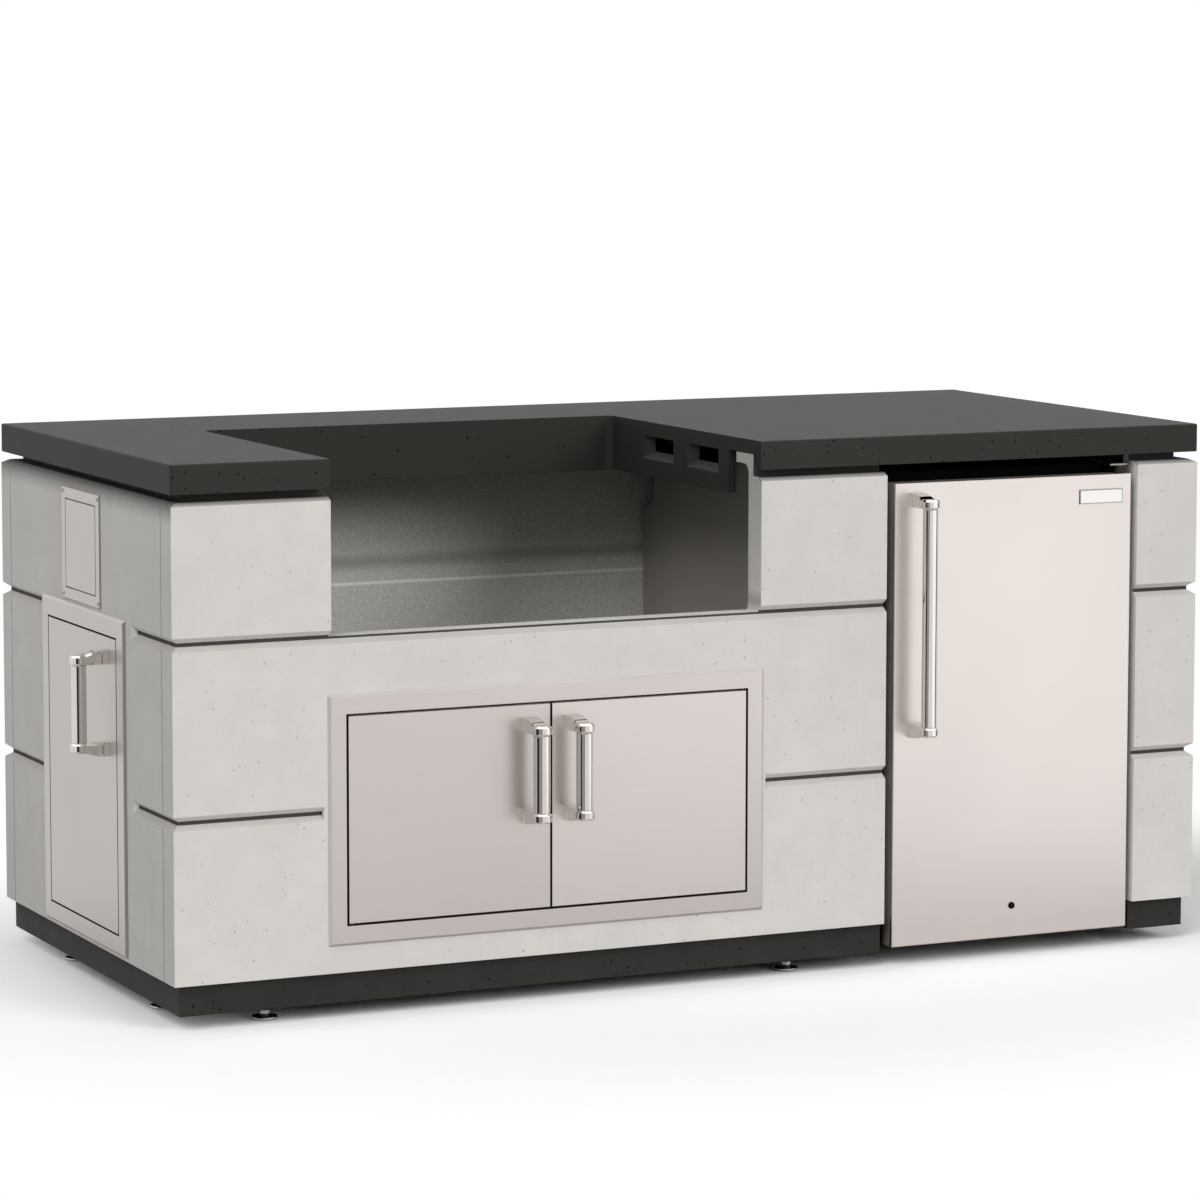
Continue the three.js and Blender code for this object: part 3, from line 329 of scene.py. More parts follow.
# a darker copy of the door steel for the left side's doors and frames: painted shade
side_shaded_steel = brushed("side_shaded_steel", (191, 185, 180), 0.32)
sheet_steel = coated("sheet_steel", (180, 176, 171), 0.4, change=0.02, grain=300.0,
                     depth=0.00003, Metallic=0.55)
chrome = polished("chrome", (222, 217, 213), 0.04)
plate_steel = polished("plate_steel", (238, 236, 233), 0.34)
foot_steel = polished("foot_steel", (196, 190, 184), 0.16)
screw_steel = polished("screw_steel", (150, 148, 144), 0.3)
black_metal = coated("black_metal", (30, 29, 28), 0.45)
cabinet_paint = coated("cabinet_paint", (30, 29, 28), 0.5)
# black: the lock barrel's own colour, and painted shade on the cabinet's front
black_and_shade = coated("black_and_shade", (6, 6, 6), 0.85, Specular_IOR_Level=0.1)
edge_paint = coated("edge_paint", (120, 115, 110), 0.42)
# the side frames' rim seen edge on: painted shade
side_rim_shade = coated("side_rim_shade", (138, 134, 130), 0.45)
# the front frame's rim seen edge on: a matt lighter tone, painted light in place of its reflection
front_rim_light = coated("front_rim_light", (196, 190, 186), 0.5)
liner_plastic = coated("liner_plastic", (226, 228, 229), 0.38, change=0.02)
gasket_rubber = coated("gasket_rubber", (44, 43, 41), 0.7)
# painted shade: in door gaps, round the badge and under the upper hinge's plate
gap_shade = coated("gap_shade", (30, 29, 28), 0.7)

# Meshes

SMOOTH = 35  # degrees: an edge that turns by more is drawn sharp
CREASE = 24  # degrees: a CAD edge that turns by more is rounded
FLAT = 0.5  # degrees: CAD faces that differ by less are one face
WELD = 0.00001
ROUNDING_SEGMENTS = 2


def clean_copy(mesh):
    """A CAD mesh with its seams closed and its flat faces made whole."""
    work = bmesh.new()
    work.from_mesh(mesh)
    bmesh.ops.remove_doubles(work, verts=work.verts, dist=WELD)
    bmesh.ops.dissolve_limit(work, angle_limit=math.radians(FLAT), verts=work.verts,
                             edges=work.edges, delimit={"NORMAL"})
    return work


def rounded(node, radius):
    """The node's own mesh with its sharp edges rounded."""
    work = clean_copy(nodes[node].data)
    work.normal_update()
    sharp = [edge for edge in work.edges
             if len(edge.link_faces) == 2 and edge.calc_face_angle() > math.radians(CREASE)]
    bmesh.ops.bevel(work, geom=sharp, offset=radius, segments=ROUNDING_SEGMENTS, profile=0.5,
                    affect="EDGES", clamp_overlap=False, offset_type="OFFSET",
                    miter_outer="SHARP")
    return work


def corner_normals(work, smooth):
    """Normals of the face corners, weighed by area: flat faces stay flat beside rounded edges."""
    limit = math.cos(math.radians(smooth))
    areas = [face.calc_area() for face in work.faces]
    normals = []
    for face in work.faces:
        for vert in face.verts:
            total = Vector((0, 0, 0))
            for other in vert.link_faces:
                if other.normal.dot(face.normal) > limit:
                    total += other.normal * areas[other.index]
            normals.append(total.normalized() if total.length > 0 else face.normal)
    return normals


def finish_mesh(name, work, materials, smooth):
    mesh = bpy.data.meshes.new(name)
    work.normal_update()
    work.faces.index_update()
    normals = corner_normals(work, smooth)
    work.to_mesh(mesh)
    work.free()
    for material in materials:
        mesh.materials.append(material)
    mesh.polygons.foreach_set("use_smooth", [True] * len(mesh.polygons))
    mesh.normals_split_custom_set(normals)
    piece = bpy.data.objects.new(name, mesh)
    scene.collection.objects.link(piece)
    return piece


def add_piece(name, body, work, materials, node=None, paint=None, smooth=SMOOTH):
    """A piece on a body, which may stand for a CAD node.
    paint gives a face's place in materials from its centre and normal."""
    piece = finish_mesh(name, work, materials, smooth)
    if paint:
        for face in piece.data.polygons:
            face.material_index = paint(face.center, face.normal)
    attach(piece, body)
    if node:
        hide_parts(node)


def soften(node, ending, body, radius, materials, paint=None):
    """A CAD node's own shape with rounded edges and its finishes."""
    add_piece(f"{node}_{ending}", body, rounded(node, radius), materials, node, paint)


def dress(material, *names):
    """Gives CAD nodes that stay their material."""
    for name in names:
        slots = nodes[name].material_slots
        if slots:
            slots[0].material = material
        else:
            nodes[name].data.materials.append(material)


def middle_of(node):
    """A node's middle and its size along each axis."""
    low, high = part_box(node)
    return (low + high) / 2, high - low


def edge_inset(point, low, high):
    """How far a point lies inside a box's outline, seen from the front."""
    return min(point.x - low.x, high.x - point.x, point.z - low.z, high.z - point.z)


# Walls: the outside is finished, groove floors and the riser under the counter are dark,
# cut ends and the inside are as they left the mould. Painted light: cut ends and chamfers
# that face down are painted lighter; chamfers that face up, seams and the left faces get
# painted shade; the inside gets painted shade towards the counter and a painted highlight line

WALL_FINISHES = [light_concrete, groove_paint_and_shade, cut_lit_concrete, raw_shaded_concrete, shaded_concrete,
                 seam_shade_concrete, left_shaded_concrete, shoulder_shaded_concrete]
PLAIN, DARK, CUT_LIT, RAW, SHADED, SEAM_SHADE, LEFT_SHADED, TOP_SLOPE = range(len(WALL_FINISHES))

wall_low, wall_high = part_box("back_panel")
outer_low = Vector((wall_low.x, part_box("front_panel")[0].y, 0))
outer_high = Vector((wall_high.x, wall_high.y, 0))

GROOVE_HEIGHTS = (0.3396, 0.6256)
GROOVE_HALF = 0.0065
GROOVE_DEPTHS = (0.0055, 0.02)
CHAMFER_HEIGHT = 0.03
CHAMFER_DEPTH = 0.012
SLOPE_FOOT = 0.83
SLOPE_DEPTH = 0.0115
RISER_FOOT = 0.852
RISER_DEPTH = 0.0105
INNER_DEPTH = 0.034
WALL_DEPTH = 0.032
SKIN = 0.0012
SEAM_HALF = 0.0012
SEAM_PLACES = (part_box("left_panel")[0].y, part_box("left_panel")[1].y)
WALLS = ("front_panel", "front_corner_panel", "left_panel", "right_panel", "back_panel")


def inset_of(point):
    """How far a point lies inside the island's outline."""
    return min(point.x - outer_low.x, outer_high.x - point.x,
               point.y - outer_low.y, outer_high.y - point.y)


def outward(point, normal):
    """How far a face looks out of the island through its own wall, from -1 to 1."""
    sides = (
        (point.x - outer_low.x, -normal.x), (outer_high.x - point.x, normal.x),
        (point.y - outer_low.y, -normal.y), (outer_high.y - point.y, normal.y),
    )
    return max((facing for depth, facing in sides if depth < WALL_DEPTH), default=-1)


def wall_paint(point, normal):
    """A wall face's place in WALL_FINISHES."""
    inset = inset_of(point)
    out = outward(point, normal)
    from_groove = min(abs(point.z - height) for height in GROOVE_HEIGHTS)
    beside_seam = min(abs(point.y - place) for place in SEAM_PLACES) < SEAM_HALF
    on_slope = point.z > SLOPE_FOOT and inset < SLOPE_DEPTH
    on_chamfer = from_groove < CHAMFER_HEIGHT and inset < CHAMFER_DEPTH
    on_left = normal.x < -0.9 and inset < SKIN or normal.x < -0.3 and on_slope
    if point.z > RISER_FOOT and inset > SLOPE_DEPTH:
        return DARK
    in_groove = from_groove < GROOVE_HALF and GROOVE_DEPTHS[0] < inset < GROOVE_DEPTHS[1]
    if in_groove and abs(normal.z) > 0.9:
        return DARK
    # the left faces get a darker copy of the concrete: painted shade
    if on_left and not beside_seam:
        return LEFT_SHADED
    # the top slope: painted shadow under the counter's lip
    if on_slope and normal.z > 0.3:
        return TOP_SLOPE
    if on_chamfer and normal.z > 0.4:
        return SHADED
    # chamfers that face down over a groove: painted light
    if on_chamfer and normal.z < -0.4:
        return CUT_LIT
    # seams between panels: painted shade
    if inset < SKIN and beside_seam:
        return SEAM_SHADE
    if out > 0.9 and inset > RISER_DEPTH:
        return DARK
    # the inside: raw concrete with painted shade and a painted highlight line
    if inset > INNER_DEPTH:
        return RAW
    # cut ends: painted light
    if out < 0.2 and abs(normal.z) < 0.5:
        return CUT_LIT
    return PLAIN


for wall in WALLS:
    soften(wall, "cast", "island", 0.0009, WALL_FINISHES, wall_paint)

# Counter, base and the fixed sheets

COUNTER_TOP, COUNTER_LIP, COUNTER_APRON = range(3)
CUTOUT_RIGHT = 0.1275
APRON_REACH = 0.03


def counter_paint(point, normal):
    """The lips and the right apron show more pinholes than the top, and the apron, inside the
    cut-out, is darker: painted shade.
    """
    if normal.x < -0.9 and abs(point.x - CUTOUT_RIGHT) < APRON_REACH:
        return COUNTER_APRON
    return COUNTER_TOP if normal.z > 0.4 else COUNTER_LIP


soften("countertop", "cast", "island", 0.0013,
       [dark_concrete, lip_concrete, apron_shaded_concrete], counter_paint)
soften("base_frame", "cast", "island", 0.0014, [base_concrete])
dress(floor_board, "storage_floor")
dress(sheet_steel, "bay_divider")

# Doors and their frames

FACE, GAP_SHADE, RIM = range(3)
FRONT, SIDE = 1, 0  # the axis that a door's face looks along
COVER_TRIM = 0.0008
ACCESS_DOORS = ("left_door", "right_door", "side_door")


def gap_shade_paint(node, axis, rim):
    """Painted shade in the gap round a door. A rim of this width has its own painted tone where
    seen edge on: painted shade on the side frames, painted light on the front frame.
    """
    low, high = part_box(node)
    across = [k for k in range(3) if k != axis]
    flattest = 0.8 if axis == SIDE else 0.95

    def paint(point, normal):
        inset = min(min(point[k] - low[k], high[k] - point[k]) for k in across)
        edge_on = normal.y < -0.6 if axis == SIDE else abs(normal.y) < 0.9
        # the rim seen edge on: painted shade on the side frames, painted light on the front frame
        if inset < rim and edge_on:
            return RIM
        return GAP_SHADE if abs(normal[axis]) < flattest and inset >= rim else FACE
    return paint


def narrow(work, middle, amount):
    """Moves the four edges of a plate in the left wall inwards, for a wider gap line."""
    for vert in work.verts:
        for axis in (1, 2):
            side = vert.co[axis] - middle[axis]
            if side:
                vert.co[axis] -= math.copysign(amount, side)


for node, body, finish, radius, axis, rim in (
    ("front_door_frame", "island", door_steel, 0.0006, FRONT, 0.006),
    ("left_door", "left_door", door_steel, 0.0006, FRONT, 0),
    ("right_door", "right_door", right_door_lit_steel, 0.0006, FRONT, 0),
    ("side_door_frame", "island", side_shaded_steel, 0.0006, SIDE, 0.006),
    ("side_door", "side_door", side_shaded_steel, 0.0006, SIDE, 0),
    ("utility_frame", "island", side_shaded_steel, 0.0003, SIDE, 0.004),
    ("utility_cover", "island", side_shaded_steel, 0.0003, SIDE, 0),
):
    work = rounded(node, radius)
    if node == "utility_cover":
        narrow(work, middle_of(node)[0], COVER_TRIM)
    rim_tone = side_rim_shade if axis == SIDE else front_rim_light
    add_piece(f"{node}_rounded", body, work, [finish, gap_shade, rim_tone],
              node, gap_shade_paint(node, axis, rim))

# The fridge's body, and the pins and catches of the access doors

HINGE_PLATE = 0.006
hinge_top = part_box("fridge_upper_hinge")[1].z

# below its plate the upper hinge gets painted shade
soften("fridge_upper_hinge", "rounded", "island", 0.0004,
       [screw_steel, gap_shade], lambda point, normal: int(point.z < hinge_top - HINGE_PLATE))
dress(black_metal, *[f"{door}_{end}_hinge_pin" for door in ACCESS_DOORS
                     for end in ("lower", "upper")])
soften("fridge_lower_hinge", "rounded", "island", 0.0004, [black_metal])
# the cabinet's front round the door: painted shade
soften("fridge_cabinet", "rounded", "island", 0.0008,
       [cabinet_paint, black_and_shade], lambda point, normal: int(normal.y < -0.5))
soften("fridge_liner", "moulded", "island", 0.0011, [liner_plastic])
soften("fridge_door_liner", "moulded", "fridge_door", 0.0013, [liner_plastic])
for door in ACCESS_DOORS:
    soften(f"{door}_catch", "rounded", "island", 0.0012, [black_metal])

# Turned and lofted shapes


def loft(work, rings, closed=True):
    """A skin through rings of equally many points. A ring of one point is a pole."""
    rows = [[work.verts.new(point) for point in ring] for ring in rings]
    for first, second in zip(rows, rows[1:]):
        count = max(len(first), len(second))
        for k in range(count):
            n = (k + 1) % count
            if len(first) == 1:
                work.faces.new((first[0], second[n], second[k]))
            elif len(second) == 1:
                work.faces.new((first[k], first[n], second[0]))
            else:
                work.faces.new((first[k], first[n], second[n], second[k]))
    if closed and len(rows[0]) > 1:
        work.faces.new(rows[0][::-1])
    if closed and len(rows[-1]) > 1:
        work.faces.new(rows[-1])
    return work


def turned(work, rows, segments, place=(0, 0, 0), turn=None, phase=0.0):
    """A turned form about Z from rows of radius and height, moved to its place."""
    place = Vector(place)
    rings = []
    for radius, height in rows:
        ring = []
        for k in range(segments if radius > 0 else 1):
            angle = 2 * math.pi * (k + phase) / segments
            point = Vector((radius * math.cos(angle), radius * math.sin(angle), height))
            ring.append(place + (turn @ point if turn else point))
        rings.append(ring)
    return loft(work, rings)


def arc(centre, radius, start, end, steps):
    """Points of radius and height along an arc, angles in degrees."""
    angles = [math.radians(start + (end - start) * k / steps) for k in range(steps + 1)]
    return [(centre[0] + radius * math.cos(a), centre[1] + radius * math.sin(a)) for a in angles]


def block(work, low, high, bevel):
    """A block between two corners with bevelled edges, added to work."""
    made = bmesh.ops.create_cube(work, size=1)["verts"]
    size, centre = Vector(high) - Vector(low), (Vector(high) + Vector(low)) / 2
    for vert in made:
        vert.co = Vector([vert.co[k] * size[k] for k in range(3)]) + centre
    edges = [edge for edge in work.edges if edge.verts[0] in made]
    bmesh.ops.bevel(work, geom=edges, offset=bevel, segments=2, profile=0.5, affect="EDGES")
    return work


def wire(work, start, end, radius, segments=10):
    """A straight wire with softened ends, added to work."""
    start, end = Vector(start), Vector(end)
    run = end - start
    turn = run.to_track_quat("Z", "Y").to_matrix()
    rows = [(0, 0), (radius * 0.8, 0), (radius, radius * 0.3), (radius, run.length - radius * 0.3),
            (radius * 0.8, run.length), (0, run.length)]
    return turned(work, rows, segments, start, turn)


def frame_ring(low, high, inset, y):
    """A box's outline seen from the front, moved inwards."""
    return [(low.x + inset, y, low.z + inset), (high.x - inset, y, low.z + inset),
            (high.x - inset, y, high.z - inset), (low.x + inset, y, high.z - inset)]


def framed(low, high, rows, closed=True):
    """A form with mitred corners from rows of inset and depth."""
    return loft(bmesh.new(), [frame_ring(low, high, inset, y) for inset, y in rows], closed)


def facing_out(work):
    bmesh.ops.recalc_face_normals(work, faces=work.faces)
    return work


# Handles: a bar between two caps, each cap with an arm that swells on its way to the door

CAP_RADIUS = 0.0151
CAP_RISE = 0.0014
CAP_CHAMFER = 0.0034
CAP_STEPS = 24
ARM_HALF = 0.0122
ARM_FLARE = 0.0072
ARM_SHARE = 0.84  # of the way from the bar to the door, with a neck and a foot after it
ARM_STEPS = 10
NECK_INSET = 0.0008
FOOT_HALF = 0.0128
BAR_BEVEL = 0.0006
BRACKET_SMOOTH = 16


def bracket(node, bar, toward, away, thick):
    """A chamfered cap round the bar and its arm, which swells away from the bar.
    toward is the door's side, away is 1 above the bar and -1 below it."""
    low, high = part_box(node)
    centre = middle_of(bar)[0]
    across = Vector((-toward.y, toward.x, 0))
    reach = max((Vector(corner) - centre).dot(toward) for corner in (low, high))
    cap, arm, foot = CAP_RADIUS * thick, ARM_HALF * thick, FOOT_HALF * thick
    arm_end = ARM_SHARE * reach
    swell_start = 0.3 * cap
    rise = high.z - low.z + CAP_RISE
    inner = low.z if away > 0 else high.z

    def half_outline(inset):
        """From the cap's far side to the foot, as distances across and toward."""
        meet = math.sqrt((cap - inset) ** 2 - (arm - inset) ** 2)
        turn = math.degrees(math.atan2(meet, arm - inset))
        half = arc((0, 0), cap - inset, -90, turn, CAP_STEPS)
        for k in range(1, ARM_STEPS + 1):
            share = k / ARM_STEPS
            half.append((arm - inset * (1 - 0.75 * share), meet + (arm_end - meet) * share))
        small = 0.25 * inset
        neck = arm - small - NECK_INSET
        return half + [(neck, arm_end + 0.0003), (neck, arm_end + 0.0011),
                       (foot - small, arm_end + 0.0014), (foot - small, reach)]

    def ring(height, inset):
        half = half_outline(inset)
        points = []
        for x, y in half + [(-x, y) for x, y in reversed(half[1:])]:
            along = max(0, y - swell_start) / (reach - swell_start)
            swell = ARM_FLARE * (1 - (1 - along) ** 2)
            level = inner + away * height * (1 + swell / rise)
            points.append(centre.xy.to_3d() + across * x + toward * y + Vector((0, 0, level)))
        return points

    steps = [(CAP_CHAMFER * height, CAP_CHAMFER * inset)
             for height, inset in ((0, 1), (0.12, 0.88), (0.88, 0.12), (1, 0))]
    rings = [ring(height, inset) for height, inset in steps]
    rings += [ring(rise - height, inset) for height, inset in reversed(steps)]
    work = loft(bmesh.new(), rings, closed=False)
    work.verts.ensure_lookup_table()
    count = len(rings[0])
    for row in (work.verts[:count], work.verts[-count:]):
        work.faces.new((row[0], row[1], row[-1]))
        for k in range(1, count // 2):
            work.faces.new((row[k], row[k + 1], row[count - k - 1], row[count - k]))
    return facing_out(work)


def handle(prefix, body, toward, thick):
    bar = f"{prefix}_handle_bar"
    centre, size = middle_of(bar)
    radius, half = size.x / 2 * thick, size.z / 2
    rows = [(0, -half), (radius - BAR_BEVEL, -half), (radius, BAR_BEVEL - half),
            (radius, half - BAR_BEVEL), (radius - BAR_BEVEL, half), (0, half)]
    add_piece(f"{prefix}_handle_tube", body,
              turned(bmesh.new(), rows, 64, centre), [chrome], bar)
    for end, away in (("upper", 1), ("lower", -1)):
        node = f"{prefix}_handle_{end}_bracket"
        add_piece(f"{node}_cast", body, bracket(node, bar, toward, away, thick),
                  [chrome], node, smooth=BRACKET_SMOOTH)


for prefix, body, toward, thick in (
    ("left_door", "left_door", (0, 1, 0), 1.13),
    ("right_door", "right_door", (0, 1, 0), 1.13),
    ("fridge", "fridge_door", (0, 1, 0), 1.05),
    ("side_door", "side_door", (1, 0, 0), 1.0),
):
    handle(prefix, body, Vector(toward), thick)

# Feet: a turned pad with a hexagonal nut and a threaded stud

FOOT_RIM = 0.0026
FOOT_PAD = 0.0065
FOOT_SMOOTH = 30
STUD = 0.0050
PITCH = 0.0015
NUT = 0.0080
NUT_HEIGHTS = (0.0085, 0.0155)
NUT_BORE = 0.0052
NUT_BEVEL = 0.0008


def levelling_foot(number):
    node = f"levelling_foot_{number}"
    centre, size = middle_of(node)
    place = (*centre.xy, 0)
    side = size.x / 2 - FOOT_RIM
    rows = [(0, 0), (side, 0)] + arc((side, FOOT_RIM), FOOT_RIM, -90, 0, 4)[1:]
    rows += arc((side, FOOT_PAD - FOOT_RIM), FOOT_RIM, 0, 90, 4)
    rows += [(0.011, FOOT_PAD + 0.0004), (0.008, FOOT_PAD + 0.0012),
             (STUD * 0.9, FOOT_PAD + 0.0018)]
    start, top = FOOT_PAD + 0.002, size.z
    for k in range(int((top - start) / PITCH)):
        height = start + k * PITCH
        rows += [(STUD, height + PITCH * 0.3), (STUD * 0.88, height + PITCH * 0.8)]
    rows += [(STUD * 0.8, top), (0, top)]
    work = turned(bmesh.new(), rows, 32, place)
    low, high = NUT_HEIGHTS
    nut = [(NUT_BORE, low), (NUT * 0.9, low), (NUT, low + NUT_BEVEL), (NUT, high - NUT_BEVEL),
           (NUT * 0.9, high), (NUT_BORE, high)]
    turned(work, nut, 6, place, phase=draw.random())
    add_piece(f"{node}_turned", node, work, [foot_steel], node, smooth=FOOT_SMOOTH)


def fridge_foot(number):
    node = f"fridge_foot_{number}"
    centre, size = middle_of(node)
    pad, stem = size.x / 2, 0.005
    rows = [(0, 0), (pad * 0.86, 0), (pad, 0.0015), (pad, 0.0068), (pad * 0.94, 0.008),
            (pad * 0.5, 0.0082)]
    for k in range(18):
        rows += [(stem, 0.0095 + k * 0.002), (stem * 0.88, 0.0105 + k * 0.002)]
    rows += [(0, size.z)]
    add_piece(f"{node}_turned", node,
              turned(bmesh.new(), rows, 32, (*centre.xy, 0)), [black_metal], node)


for number in range(1, 9):
    levelling_foot(number)
for number in (1, 2):
    fridge_foot(number)

# Fridge door: a folded steel front over a painted pan, with painted shade in the reveal between
# them

SHEET = 0.002
FOLD = 0.0075
REVEAL = 0.0016
PAN_INSET = 0.0003
PAN_BEVEL = 0.0006
PAN_FLANGE = 0.012


def fridge_door_front():
    low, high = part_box("fridge_door")
    front, back = low.y, high.y
    fold = front + FOLD
    bend = [math.radians(22.5 * k) for k in range(1, 5)]
    rows = [(SHEET, front)]
    rows += [(SHEET * (1 - math.sin(a)), front + SHEET * (1 - math.cos(a))) for a in bend]
    rows += [(0, fold - 0.0004), (0.0004, fold)]
    rows += [(REVEAL, fold), (REVEAL, fold + REVEAL), (0.0005, fold + REVEAL)]
    rows += [(PAN_INSET, fold + REVEAL + 0.0003), (PAN_INSET, back - PAN_BEVEL),
             (PAN_INSET + PAN_BEVEL, back)]
    rows += [(PAN_FLANGE, back), (PAN_FLANGE, back - SHEET), (SHEET, back - SHEET),
             (SHEET, front + SHEET)]

    def paint(point, normal):
        # the reveal between front and pan: painted shade
        if fold - 0.0001 < point.y < fold + REVEAL + 0.0002:
            return 2
        inside = edge_inset(point, low, high) > SHEET - 0.0001
        return int(point.y > fold or inside and point.y > front + SHEET / 2)

    add_piece("fridge_door_front", "fridge_door",
              facing_out(framed(low, high, rows)), [fridge_steel, edge_paint, groove_paint_and_shade],
              "fridge_door", paint)


def badge_plate():
    """The bare plate: a bright field inside a fine groove, with painted shade in the groove and on
    its edge.
    """
    low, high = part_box("badge_plate")
    front = low.y
    rows = [(0, high.y), (0, front + 0.0004), (0.0003, front), (0.0008, front),
            (0.0008, front + 0.0005), (0.0016, front + 0.0005), (0.0016, front),
            (0.002, front - 0.0002)]

    def paint(point, normal):
        inset = edge_inset(point, low, high)
        in_groove = 0.0007 < inset < 0.0017 and point.y > front + 0.0001
        # edge and groove: painted shade
        return int(inset < 0.0002 or in_groove)

    add_piece("badge_plate_field", "fridge_door",
              facing_out(framed(low, high, rows)), [plate_steel, gap_shade], "badge_plate", paint)


def gasket():
    """Hollow bellows with a magnet strip and a lip."""
    low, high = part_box("fridge_gasket")
    near, far = low.y, high.y
    rows = [(0.0, near), (0.014, near), (0.014, near + 0.002), (0.0125, near + 0.0036),
            (0.0138, near + 0.0052), (0.0138, far - 0.0008), (0.013, far), (0.001, far),
            (0.0002, far - 0.0008), (0.0002, near + 0.0052), (0.0018, near + 0.0036),
            (0.0, near + 0.002)]
    work = framed(low, high, rows + rows[:1], closed=False)
    bmesh.ops.remove_doubles(work, verts=work.verts, dist=0.000001)
    add_piece("fridge_gasket_bellows", "fridge_door", facing_out(work),
              [gasket_rubber], "fridge_gasket")


def lock():
    """A ring, a barrel and its key slot, facing the front."""
    centre, size = middle_of("fridge_lock")
    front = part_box("fridge_lock")[0].y
    radius = size.x / 2
    to_front = Matrix.Rotation(math.radians(90), 3, "X")
    rows = [(0, -size.y), (radius * 0.7, -size.y), (radius * 0.7, -0.0016),
            (radius - 0.0003, -0.0016), (radius, -0.0012), (radius, -0.0004),
            (radius - 0.0004, 0.0), (radius * 0.74, 0.0), (radius * 0.7, -0.0006),
            (radius * 0.66, -0.0012), (0, -0.0012)]
    work = turned(bmesh.new(), rows, 40, (centre.x, front, centre.z), to_front)
    add_piece("fridge_lock_barrel", "fridge_lock", facing_out(work),
              [black_and_shade], "fridge_lock")
    # the key slot: painted shade
    slot_half, slot_reach = 0.0005, radius * 0.5
    work = block(bmesh.new(), (centre.x - slot_half, front - 0.00002, centre.z - slot_reach),
                 (centre.x + slot_half, front + 0.001, centre.z + slot_reach), 0.0001)
    add_piece("fridge_lock_slot", "fridge_lock", work, [groove_paint_and_shade])


fridge_door_front()
badge_plate()
gasket()
lock()

# Inside the fridge: shelves of welded wire, the thermostat's knob and the compressor

SHELF_FRAME_WIRE = 0.0024
SHELF_CROSS_WIRE = 0.0014
SHELF_GAPS = 20
KNOB_POINTS = 72
KNOB_RIB = 0.04
KNOB_BODY = 0.012


def shelf(node):
    low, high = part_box(node)
    work = bmesh.new()
    thick = SHELF_FRAME_WIRE
    z = low.z + thick
    left, right = low.x + thick, high.x - thick
    near, far = low.y + thick, high.y - thick
    for y in (near, far, (near + far) / 2):
        wire(work, (left, y, z), (right, y, z), thick)
    for x in (left, right):
        wire(work, (x, near, z), (x, far, z), thick)
    upper = z + thick * 0.9
    for k in range(1, SHELF_GAPS):
        x = left + (right - left) * k / SHELF_GAPS
        wire(work, (x, near, upper), (x, far, upper), SHELF_CROSS_WIRE, 8)
    add_piece(f"{node}_wires", "island", work, [chrome], node)


def knob():
    """Turned about X, with a ribbed rim and a pointer."""
    centre, size = middle_of("thermostat_knob")
    low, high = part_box("thermostat_knob")
    toward_door = Matrix.Rotation(math.radians(-90), 3, "Y")
    radius = size.y / 2
    rings = []
    for share, height in ((0.0, 0.0), (1.0, 0.0), (1.0, 0.0085), (0.93, 0.0105), (0.86, 0.0118),
                          (0.0, 0.0118)):
        ring = []
        for k in range(KNOB_POINTS if share else 1):
            ridge = 1 - KNOB_RIB * (k % 2) if share == 1.0 else 1
            reach = radius * share * ridge
            angle = 2 * math.pi * k / KNOB_POINTS
            point = Vector((reach * math.cos(angle), reach * math.sin(angle), height))
            ring.append(Vector((high.x, centre.y, centre.z)) + toward_door @ point)
        rings.append(ring)
    work = loft(bmesh.new(), rings)
    half, length = radius * 0.16, radius * 0.9
    block(work, (low.x + 0.0004, centre.y - half, centre.z - length),
          (high.x - KNOB_BODY + 0.0006, centre.y + half, centre.z + length), 0.001)
    add_piece("thermostat_dial", "thermostat_knob", facing_out(work),
              [liner_plastic], "thermostat_knob")


def compressor():
    """A drawn can with its seam, on a plate, with its terminal box and two stubs."""
    low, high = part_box("fridge_compressor")
    centre, size = middle_of("fridge_compressor")
    radius = size.x / 2 - 0.001
    rows = [(0, 0.008), (radius * 0.6, 0.008), (radius * 0.62, 0.014)]
    rows += arc((radius - 0.03, 0.045), 0.03, -70, 0, 6)
    rows += [(radius, 0.076), (radius + 0.001, 0.077), (radius + 0.001, 0.082),
             (radius - 0.002, 0.083)]
    rows += arc((radius - 0.042, 0.102), 0.04, 0, 78, 10) + [(0, 0.147)]
    work = turned(bmesh.new(), rows, 56, (centre.x, centre.y, low.z))
    block(work, (low.x, low.y, low.z), (high.x, high.y, low.z + 0.008), 0.0015)
    for x in (centre.x - 0.02, centre.x + 0.02):
        wire(work, (x, centre.y, low.z + 0.135), (x, centre.y, low.z + 0.15), 0.003)
    block(work, (centre.x - 0.02, low.y + 0.001, low.z + 0.05),
          (centre.x + 0.02, centre.y - radius * 0.8, low.z + 0.1), 0.002)
    add_piece("compressor_can", "island", work, [black_metal], "fridge_compressor")


shelf("fridge_shelf_lower")
shelf("fridge_shelf_upper")
knob()
compressor()

# Screws: on the cover plate's frame and on the upper hinge

COVER_SCREW = 0.0036
COVER_SCREW_INSET = 0.0075
HINGE_SCREW = 0.0042
HINGE_SCREW_INSETS = (0.012, 0.034)
HINGE_PLATE_RISE = 0.0033


def screw(name, place, turn, radius):
    """A low domed head with a round socket."""
    rows = [(0, -0.0008), (radius, -0.0008), (radius, 0.0002)]
    rows += [(radius * math.cos(a), 0.0002 + radius * 0.32 * math.sin(a))
             for a in (0.25, 0.55, 0.85, 1.1)]
    rows += [(radius * 0.3, radius * 0.3), (radius * 0.26, radius * 0.12), (0, radius * 0.1)]
    work = facing_out(turned(bmesh.new(), rows, 24, place, turn))
    add_piece(name, "island", work, [screw_steel])


